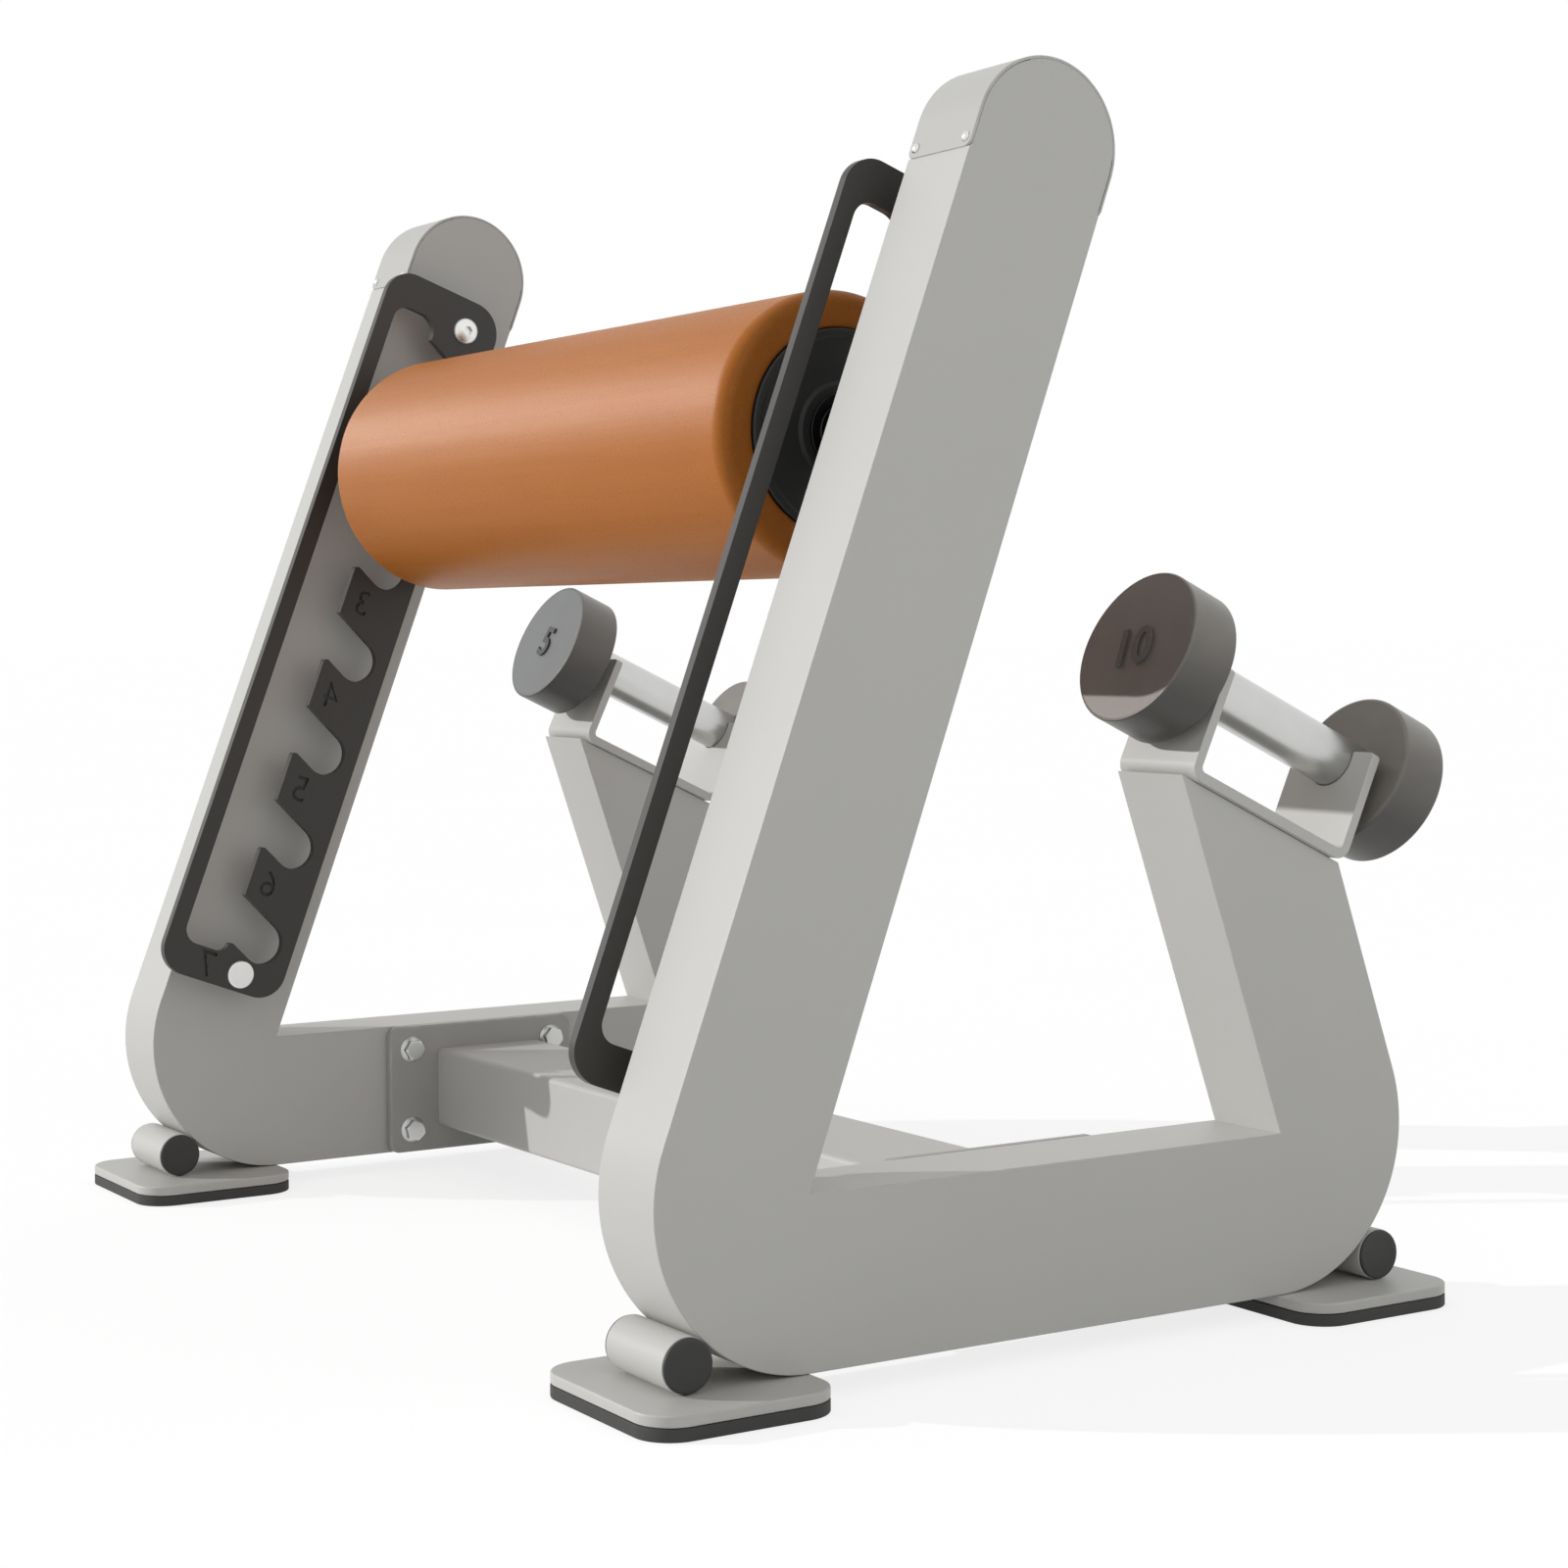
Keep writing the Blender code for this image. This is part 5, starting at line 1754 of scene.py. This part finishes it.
@dataclass
class Rack:
    """One slotted rack on two bosses inside an upright, with an engraved number at each notch."""

    layout: Layout
    side: Side
    fasteners: FastenerPattern
    plates: SlottedPlate
    thickness: float = 0.008
    standoff: float = 0.0275
    overhang: float = 0.0284
    width: float = 0.1221
    bottom: float = 0.0274
    drop: float = 0.0285
    corner: float = 0.025
    rear_top_corner: float = 0.030
    front_strip: float = 0.0151
    channel_width: float = 0.0438
    channel_bottom: float = 0.0302
    channel_top: float = 0.0320
    front_channel_corner: float = 0.014
    rear_top_channel_corner: float = 0.017
    rear_bottom_channel_corner: float = 0.008
    notch_count: int = 7
    notch_depth: float = 0.0315
    notch_rise: float = 25.6
    seat_radius: float = 0.0194
    lowest_seat: float = 0.0490
    highest_seat: float = 0.0881
    tip_radius: float = 0.0035
    boss_radius: float = 0.010
    boss_faces: int = 40
    edge: float = 0.0009
    figure_height: float = 0.0235
    figure_depth: float = 0.0020
    figure_place: tuple[float, float] = (0.049, -0.0385)
    lowest_figure_place: tuple[float, float] = (0.016, 0.0435)
    bolt_places: tuple[tuple[float, float], ...] = ((0.0787, 0.0158), (0.0887, -0.0297))

    @property
    def top(self) -> float:
        """Return the height of the plate's upper end along the upright."""
        return self.layout.upright_length - self.drop

    @property
    def pitch(self) -> float:
        """Return the distance from seat to seat."""
        room = self.top - self.bottom - self.lowest_seat - self.highest_seat
        return room / (self.notch_count - 1)

    @property
    def back(self) -> float:
        """Return the plate's back face, without the side's sign."""
        return self.layout.inner - self.standoff

    @property
    def face(self) -> float:
        """Return the plate's inner face, without the side's sign."""
        return self.back - self.thickness

    @property
    def channel(self) -> tuple[float, float]:
        """Return the channel's front and rear sides behind the upright's front."""
        front = self.front_strip - self.overhang
        return front, front + self.channel_width

    def seat(self, number: int) -> Vector:
        """Return a seat's centre in the upright's frame, counted from the lowest."""
        height = self.bottom + self.lowest_seat + self.pitch * (number - 1)
        return Vector((self.channel[1] + self.notch_depth, height))

    def build(self) -> None:
        """Make the plate with its bosses and numbers, and its two bolts."""
        label = self.side.label
        notch, land, rest = self._notch()
        chains = {"Notch": [notch], "Land": [land]}
        parts = {key: linked(key, self._wire(key, chain)) for key, chain in chains.items()}
        values = {"Count": self.notch_count, "Pitch": self.pitch, "Thickness": self.thickness}
        values |= {**parts, "Finish": PALETTE.material(RACK_PAINT)}
        plate = self.plates.run(self._wire("rack_outline", rest), f"{label}_rack_plate", values)
        removed(*parts.values())
        self._stand(plate)
        edged(plate, self.edge, 2)
        for number in range(self.notch_count):
            text, place = str(self.notch_count - number), self._figure_place(number)
            cutter = figure("figure", text, self.figure_height, self.figure_depth, place)
            carved(plate, engraver(cutter, Vector((1.0, 0.0, 0.0))))
        self._add_bosses(plate)
        fitted(smoothed(plate), RACK_PAINT, Body.STAND, [f"{label}_rack"])
        face = self.side.value * self.face
        for number, (kind, name) in enumerate(((PLAIN_BOLT, "lower"), (SOCKET_BOLT, "upper"))):
            seat = self.layout.on_upright(face, *self._bolt(number))
            points = [(seat, Vector((-self.side.value, 0.0, 0.0)))]
            nodes = [f"{label}_rack_{name}_bolt"]
            self.fasteners.set(f"{label}_rack_{name}_screw", kind, points, nodes, seed=5)

    def _bolt(self, number: int) -> tuple[float, float]:
        """Return a bolt's place in the upright's frame."""
        inset_by, height = self.bolt_places[number]
        return inset_by - self.overhang, (self.bottom if height > 0 else self.top) + height

    def _notch(self) -> tuple[list[Vector], list[Vector], list[list[Vector]]]:
        """Draw the lowest notch, the land above it, and the rest of the plate's outline.

        Returns:
            The notch's open chain, the land's, and the channel's and the plate's.
        """
        front, rear = self.channel
        rise = math.radians(self.notch_rise)
        mouth = Vector((-math.cos(rise), math.sin(rise)))
        upper_side = Vector((math.sin(rise), math.cos(rise)))
        seat = self.seat(1)
        under = seat - upper_side * self.seat_radius
        over = seat + upper_side * self.seat_radius
        tip = under + mouth * ((under.x - rear) / math.cos(rise))
        lip = over + mouth * ((over.x - rear) / math.cos(rise))
        start = math.atan2(-upper_side.y, -upper_side.x)
        cup = arc(seat, self.seat_radius, start, start + math.pi, 30)
        below = tip - Vector((0.0, self.pitch / 2))
        sharp = [(*point, 0.0) for point in (*cup, lip, lip + Vector((self.pitch, 0.0)))]
        chain = rounded([(*below, 0.0), (*tip, self.tip_radius), *sharp], 10.0)
        notch = chain[1:-1]
        land = [notch[-1], notch[0] + Vector((0.0, self.pitch))]
        shift = Vector((0.0, self.pitch * (self.notch_count - 1)))
        low, high = self.bottom + self.channel_bottom, self.top - self.channel_top
        channel = rounded(
            [
                (notch[-1].x, notch[-1].y + shift.y, 0.0),
                (rear, high, self.rear_top_channel_corner),
                (front, high, self.front_channel_corner),
                (front, low, self.front_channel_corner),
                (rear, low, self.rear_bottom_channel_corner),
                (notch[0].x, notch[0].y, 0.0),
            ]
        )
        ahead, behind = -self.overhang, self.width - self.overhang
        plate = rounded(
            [
                (ahead, self.bottom, self.corner),
                (behind, self.bottom, self.corner),
                (behind, self.top, self.rear_top_corner),
                (ahead, self.top, self.corner),
            ]
        )
        return notch, land, [channel, [*plate, plate[0]]]

    def _wire(self, name: str, chains: Sequence[Sequence[Vector]]) -> bpy.types.Mesh:
        """Draw edges along chains of points, flat in X and Y.

        Args:
            name: the mesh's name.
            chains: the points of each chain, in order.

        Returns:
            The mesh.
        """
        points, edges = [], []
        for chain in chains:
            first = len(points)
            points += [(point[0], point[1], 0.0) for point in chain]
            edges += [(index, index + 1) for index in range(first, len(points) - 1)]
        mesh = bpy.data.meshes.new(name)
        mesh.from_pydata(points, edges, [])
        return mesh

    def _stand(self, plate: bpy.types.Object) -> None:
        """Lift the flat plate into the upright's frame.

        Args:
            plate: the plate, drawn flat with its back at Z = 0.
        """
        shape = bmesh.new()
        shape.from_mesh(plate.data)
        for vertex in shape.verts:
            behind, along, depth = vertex.co
            x = self.side.value * (self.back - depth)
            vertex.co = self.layout.on_upright(x, behind, along)
        bmesh.ops.recalc_face_normals(shape, faces=shape.faces)
        shape.to_mesh(plate.data)
        shape.free()

    def _figure_place(self, number: int) -> Matrix:
        """Return the frame of the number below a notch, in line with the plate.

        Args:
            number: counts the notches from the lowest, at 0.

        Returns:
            The frame, on the plate's inner face, reading from the front.
        """
        behind, rise = self.figure_place
        where = (behind, self.seat(number + 1).y + rise) if number else self.lowest_figure_place
        place = self.layout.on_upright(self.side.value * self.face, *where)
        frame_axes = self.layout.upright.to_3x3()
        right, up = -frame_axes.col[1], frame_axes.col[2]
        axes = Matrix((right, up, right.cross(up))).transposed()
        return Matrix.Translation(place) @ axes.to_4x4()

    def _add_bosses(self, plate: bpy.types.Object) -> None:
        """Weld the two bosses to the back of the plate.

        Args:
            plate: the finished plate.
        """
        shape = bmesh.new()
        shape.from_mesh(plate.data)
        near = self.side.value * self.back
        far = self.side.value * (self.layout.inner - self.layout.gap)
        way, radius = math.copysign(1.0, far - near), self.boss_radius
        profile = [(near, 0.0), (near, radius + 0.0018), (near + way * 0.0007, radius + 0.0009)]
        profile += [(near + way * 0.0020, radius), (far - way * 0.0005, radius)]
        profile += [(far, radius - 0.0005), (far, 0.0)]
        for number in range(2):
            place = self.layout.on_upright(0.0, *self._bolt(number))
            turned(profile, self.boss_faces, Matrix.Translation(place), shape)
        bmesh.ops.recalc_face_normals(shape, faces=shape.faces)
        shape.to_mesh(plate.data)
        shape.free()


@dataclass
class Roller:
    """The padded roller on its axle: cover over foam, end discs, bearings, core and axle."""

    layout: Layout
    studio: Studio
    rack: Rack
    radius: float = 0.106
    end_space: float = 0.045
    rim: float = 0.012
    disc_radius: float = 0.077
    disc_thickness: float = 0.009
    disc_proud: float = 0.0014
    core_radius: float = 0.040
    axle_radius: float = 0.019
    axle_wall: float = 0.003
    axle_overhang: float = 0.010
    bearing_radius: float = 0.026
    bearing_width: float = 0.018
    bearing_flange_radius: float = 0.029
    bearing_flange: float = 0.0025
    clearance: float = 0.0003
    collar_radius: float = 0.024
    collar_width: float = 0.010
    collar_clearance: float = 0.0005
    ripple: float = 0.00022
    pull: float = 0.00009
    web_depth: float = 0.0016
    rim_width: float = 0.0050
    hub_width: float = 0.0060
    cover_faces: int = 224
    disc_faces: int = 144
    axle_faces: int = 96

    @property
    def place(self) -> Matrix:
        """Return the frame that the roller turns in."""
        axis = self.layout.on_upright(0.0, *self.rack.seat(AXLE_NOTCH))
        return Matrix.Translation(axis)

    @property
    def end(self) -> float:
        """Return where the cover ends, without the side's sign."""
        return self.rack.face - self.end_space

    def build(self) -> None:
        """Make the roller's pieces, light its cover and dress the core that stays a CAD node."""
        self.studio.band(self._cover())
        for side in Side:
            self._disc(side)
            self._bearing(side)
        self._axle()
        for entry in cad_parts["roller_core"].material_slots:
            entry.material = PALETTE.material(STEEL)

    def _cover(self) -> bpy.types.Object:
        """Make the padded cover: a barely crowned roll, tucked in behind the discs.

        Returns:
            The piece.
        """
        end, place = self.end, self.place
        ledge = end + self.disc_proud - self.disc_thickness - self.layout.gap
        bore, tuck = self.core_radius + self.layout.gap, self.disc_radius + self.layout.gap
        half = [(ledge, bore), (ledge, tuck), (end - 0.0022, tuck), (end - 0.0009, tuck + 0.0012)]
        half += [(end - 0.0002, tuck + 0.0040), (end, tuck + 0.0090)]
        for count in range(15):
            turn = math.pi / 2 * count / 14
            along = end - self.rim * (1 - math.cos(turn))
            half.append((along, self.radius - self.rim * (1 - math.sin(turn))))
        flat = end - self.rim
        run = [(flat * (1 - 2 * count / 96), self.radius) for count in range(1, 96)]
        profile = half + run + [(-along, radius) for along, radius in reversed(half)]
        shape = turned(profile, self.cover_faces, Matrix.Identity(4))
        for vertex in shape.verts:
            along, a, b = vertex.co
            radius = math.hypot(a, b)
            if radius > self.disc_radius + 0.001:
                angle = math.atan2(b, a)
                round_x, round_y = math.cos(angle), math.sin(angle)
                ripple = noise.noise(Vector((along * 5.0, round_x * 3.2, round_y * 3.2)))
                pull = noise.noise(Vector((along * 2.0, round_x * 14.0, round_y * 14.0)))
                loss = self.ripple * (1 + ripple) + self.pull * (1 + pull)
                vertex.co = Vector((along, a * (1 - loss / radius), b * (1 - loss / radius)))
            vertex.co = place @ vertex.co
        cover = dressed("roller_cover", shape, COVER, Body.ROLLER, ["roller_pad"], 50.0)
        return cover

    def _disc(self, side: Side) -> None:
        """Make one end disc: a raised rim, a shallow web and a hub.

        Args:
            side: the end of the roller.
        """
        face = self.end + self.disc_proud
        back, web = face - self.disc_thickness, face - self.web_depth
        hole, hub = self.bearing_radius + self.layout.gap, self.bearing_flange_radius
        radius = self.disc_radius - self.layout.gap
        corners = [
            (back, hole, 0.0),
            (back, radius, 0.0),
            (face, radius, 0.0014),
            (face, radius - self.rim_width, 0.0005),
            (web, radius - self.rim_width - 0.0020, 0.0005),
            (web, hub + self.hub_width + 0.0030, 0.0010),
            (face, hub + self.hub_width, 0.0008),
            (face, hole, 0.0004),
        ]
        profile = [(side.value * along, high) for along, high in rounded(corners, 22.5)]
        disc = turned(profile, self.disc_faces, self.place)
        nodes = [f"{side.label}_roller_disc"]
        dressed(f"{side.label}_disc", disc, DISC, Body.ROLLER, nodes, 35.0)

    def _bearing(self, side: Side) -> None:
        """Make one flanged bearing.

        Args:
            side: the end of the roller.
        """
        lip = self.end + self.disc_proud + self.layout.gap
        rim = lip + self.bearing_flange
        bore = self.axle_radius + self.clearance
        corners = [
            (rim - self.bearing_width, bore, 0.0),
            (rim - self.bearing_width, self.bearing_radius, 0.0),
            (lip, self.bearing_radius, 0.0),
            (lip, self.bearing_flange_radius, 0.0004),
            (rim, self.bearing_flange_radius, 0.0006),
            (rim, bore + 0.0045, 0.0002),
            (rim - 0.0008, bore + 0.0040, 0.0002),
            (rim - 0.0008, bore + 0.0018, 0.0002),
            (rim, bore + 0.0013, 0.0002),
            (rim, bore, 0.0003),
        ]
        profile = [(side.value * along, high) for along, high in rounded(corners, 30.0)]
        bearing = turned(profile, self.axle_faces, self.place)
        nodes = [f"{side.label}_roller_bearing"]
        dressed(f"{side.label}_bearing", bearing, STEEL, Body.ROLLER, nodes, 35.0)

    def _axle(self) -> None:
        """Make the axle tube with its two collars."""
        reach = self.rack.back + self.axle_overhang
        bore = self.axle_radius - self.axle_wall
        face = self.rack.face - self.collar_clearance
        back = face - self.collar_width
        half = [
            (back, self.axle_radius, 0.0003),
            (back, self.collar_radius, 0.0008),
            (face, self.collar_radius, 0.0008),
            (face, self.axle_radius, 0.0003),
            (reach, self.axle_radius, 0.0007),
            (reach, bore, 0.0005),
        ]
        corners = half + [(-along, radius, corner) for along, radius, corner in reversed(half)]
        axle = turned(rounded(corners, 30.0), self.axle_faces, self.place)
        dressed("axle_tube", axle, STEEL, Body.AXLE, ["axle"], 35.0)


@dataclass
class Holder:
    """One dumbbell holder, bent from sheet, on the sloping cut of an arm."""

    layout: Layout
    side: Side
    thickness: float = 0.008
    bend: float = 0.004
    overhang: float = 0.0055
    setback: float = 0.0028
    length: float = 0.1657
    height: float = 0.0877
    corner: float = 0.004
    handle_height: float = 0.0796
    notch_radius: float = 0.0210
    edge: float = 0.0009

    def build(self) -> None:
        """Bend the sheet, round its corners and cut the two notches."""
        size = self.layout
        low, high = self.side.span(size.inner - self.overhang, size.outer + self.overhang)
        start, end = self.setback, self.setback + self.length
        floor, outside = size.gap + self.thickness, self.bend + self.thickness
        corners = [
            (start, size.gap, outside),
            (end, size.gap, outside),
            (end, self.height, 0.0),
            (end - self.thickness, self.height, 0.0),
            (end - self.thickness, floor, self.bend),
            (start + self.thickness, floor, self.bend),
            (start + self.thickness, self.height, 0.0),
            (start, self.height, 0.0),
        ]
        shape = slab(rounded(corners, 9.0), low, high, 0.0)
        tops = []
        for edge in shape.edges:
            one, other = (vertex.co for vertex in edge.verts)
            if min(one.z, other.z) > self.height - size.gap and abs(one.x - other.x) < size.gap:
                tops.append(edge)
        bmesh.ops.bevel(
            shape, geom=tops, offset=self.corner, segments=6, profile=0.5, affect="EDGES"
        )
        shape.transform(size.cut)
        holder = solid(f"{self.side.label}_holder", shape)
        middle = self.side.value * size.middle
        radius, top = self.notch_radius, self.height + self.thickness
        notch = arc((middle, self.handle_height), radius, -math.pi, 0.0, 40)
        notch += [Vector((middle + radius, top)), Vector((middle - radius, top))]
        cutter = slab(notch, start - self.thickness, end + self.thickness, 0.0, Axis.Y, size.cut)
        carved(holder, solid("notch", cutter))
        edged(holder, self.edge, 2, 45.0)
        nodes = [f"{self.side.label}_dumbbell_holder"]
        fitted(smoothed(holder, 35.0), FRAME_PAINT, Body.STAND, nodes)


@dataclass
class Dumbbell:
    """One dumbbell: a plated handle between two rubber heads with faced ends and a plain number."""

    layout: Layout
    side: Side
    holder: Holder
    number: str
    rubber: Moulding
    face: FacedPlate
    roll: float
    shift: float
    handle_radius: float = 0.0206
    handle_length: float = 0.1846
    head_radius: float = 0.060
    head_thickness: float = 0.0434
    front_edge: float = 0.0015
    rear_edge: float = 0.0038
    face_thickness: float = 0.0030
    seat_depth: float = 0.0032
    seat_clearance: float = 0.0001
    seat_inset: float = 0.0002
    number_height: float = 0.031
    number_depth: float = 0.0018
    number_stroke: float = 0.0006
    number_edge: float = 0.0003
    handle_faces: int = 96
    head_faces: int = 144

    def build(self) -> None:
        """Make the handle and both heads."""
        label = self.side.label
        body = Body[f"{self.side.name}_DUMBBELL"]
        middle = self.holder.setback + self.holder.length / 2 + self.shift
        centre = self.layout.cut @ Vector((0.0, middle, self.holder.handle_height))
        centre.x = self.side.value * self.layout.middle
        along = self.layout.cut.to_3x3() @ Vector((0.0, 1.0, 0.0))
        up = self.layout.cut.to_3x3() @ Vector((0.0, 0.0, 1.0))
        axes = Matrix((along, Vector((-1.0, 0.0, 0.0)), up)).transposed()
        place = Matrix.Translation(centre) @ axes.to_4x4()
        grip, radius = self.handle_length / 2 - self.layout.gap, self.handle_radius
        profile = [(-grip, 0.0), (-grip, radius), (grip, radius), (grip, 0.0)]
        handle, nodes = turned(profile, self.handle_faces, place), [f"{label}_dumbbell_handle"]
        dressed(f"{label}_handle", handle, GRIP, body, nodes, 35.0)
        for end in End:
            nodes = [f"{label}_dumbbell_{end.label}_head"]
            edge = self.front_edge if end is End.FRONT else self.rear_edge
            head = turned(self._head(end.value, edge), self.head_faces, place)
            dressed(f"{label}_{end.label}_head", head, self.rubber, body, nodes, 35.0)
            out = end.value * (self.handle_length / 2 + self.head_thickness)
            rim = self.head_radius - edge - self.seat_inset - self.seat_clearance
            inner, bevel = out - end.value * self.face_thickness, 0.0002
            profile = [(inner, 0.0), (inner, rim), (out - end.value * bevel, rim)]
            profile += [(out, rim - bevel), (out, 0.0)]
            shape = turned(profile, self.head_faces, place)
            plate = solid(f"{label}_{end.label}_face", shape)
            turn = Matrix.Rotation(math.radians(self.roll), 4, "Z")
            spot = facing(along * end.value, centre + along * out, up) @ turn
            height, depth, stroke = self.number_height, self.number_depth, self.number_stroke
            number = figure("number", self.number, height, depth, spot, -stroke)
            carved(plate, edged(number, self.number_edge, 1, 60.0), "UNION")
            back = place.inverted()
            own = [value for vertex in plate.data.vertices for value in back @ vertex.co]
            noted(plate.data, "local", "POINT", own)
            fitted(smoothed(plate, 35.0), self.face, body, nodes)

    def _head(self, way: int, edge: float) -> list[tuple[float, float]]:
        """Draw a head's profile, with a seat for its face plate.

        Args:
            way: the end that it is on.
            edge: the radius of its outer rim.

        Returns:
            The (along, radius) points.
        """
        near = self.handle_length / 2
        out = near + self.head_thickness
        rim, floor = self.head_radius - edge - self.seat_inset, out - self.seat_depth
        corners = [
            (near, 0.0, 0.0),
            (near, self.head_radius, 0.003),
            (out, self.head_radius, edge),
            (out, rim, 0.0001),
            (floor, rim, 0.0),
            (floor, 0.0, 0.0),
        ]
        return [(way * along, radius) for along, radius in rounded(corners, 11.25)]


def main() -> None:
    """Build the stand, piece by piece, and its studio."""
    logging.basicConfig(level=logging.INFO, format="%(name)s: %(message)s")
    bpy.context.scene.view_settings.view_transform = "Standard"
    layout = Layout()
    fasteners, plates = FastenerPattern(), SlottedPlate()
    studio = Studio()
    studio.build()
    racks = [Rack(layout, side, fasteners, plates) for side in Side]
    for side, rack in zip(Side, racks):
        SideFrame(layout, side, fasteners).build()
        for end in End:
            Foot(layout, side, end).build()
        rack.build()
    BeamJoint(layout, fasteners).build()
    Roller(layout, studio, racks[0]).build()
    weights = {
        Side.RIGHT: ("10", TEN_RUBBER, TEN_FACE, 9.0, 0.0),
        Side.LEFT: ("5", FIVE_RUBBER, FIVE_FACE, -10.0, -0.0055),
    }
    for side, weight in weights.items():
        holder = Holder(layout, side)
        holder.build()
        Dumbbell(layout, side, holder, *weight).build()
    bpy.context.view_layer.update()


if __name__ == "__main__":
    main()
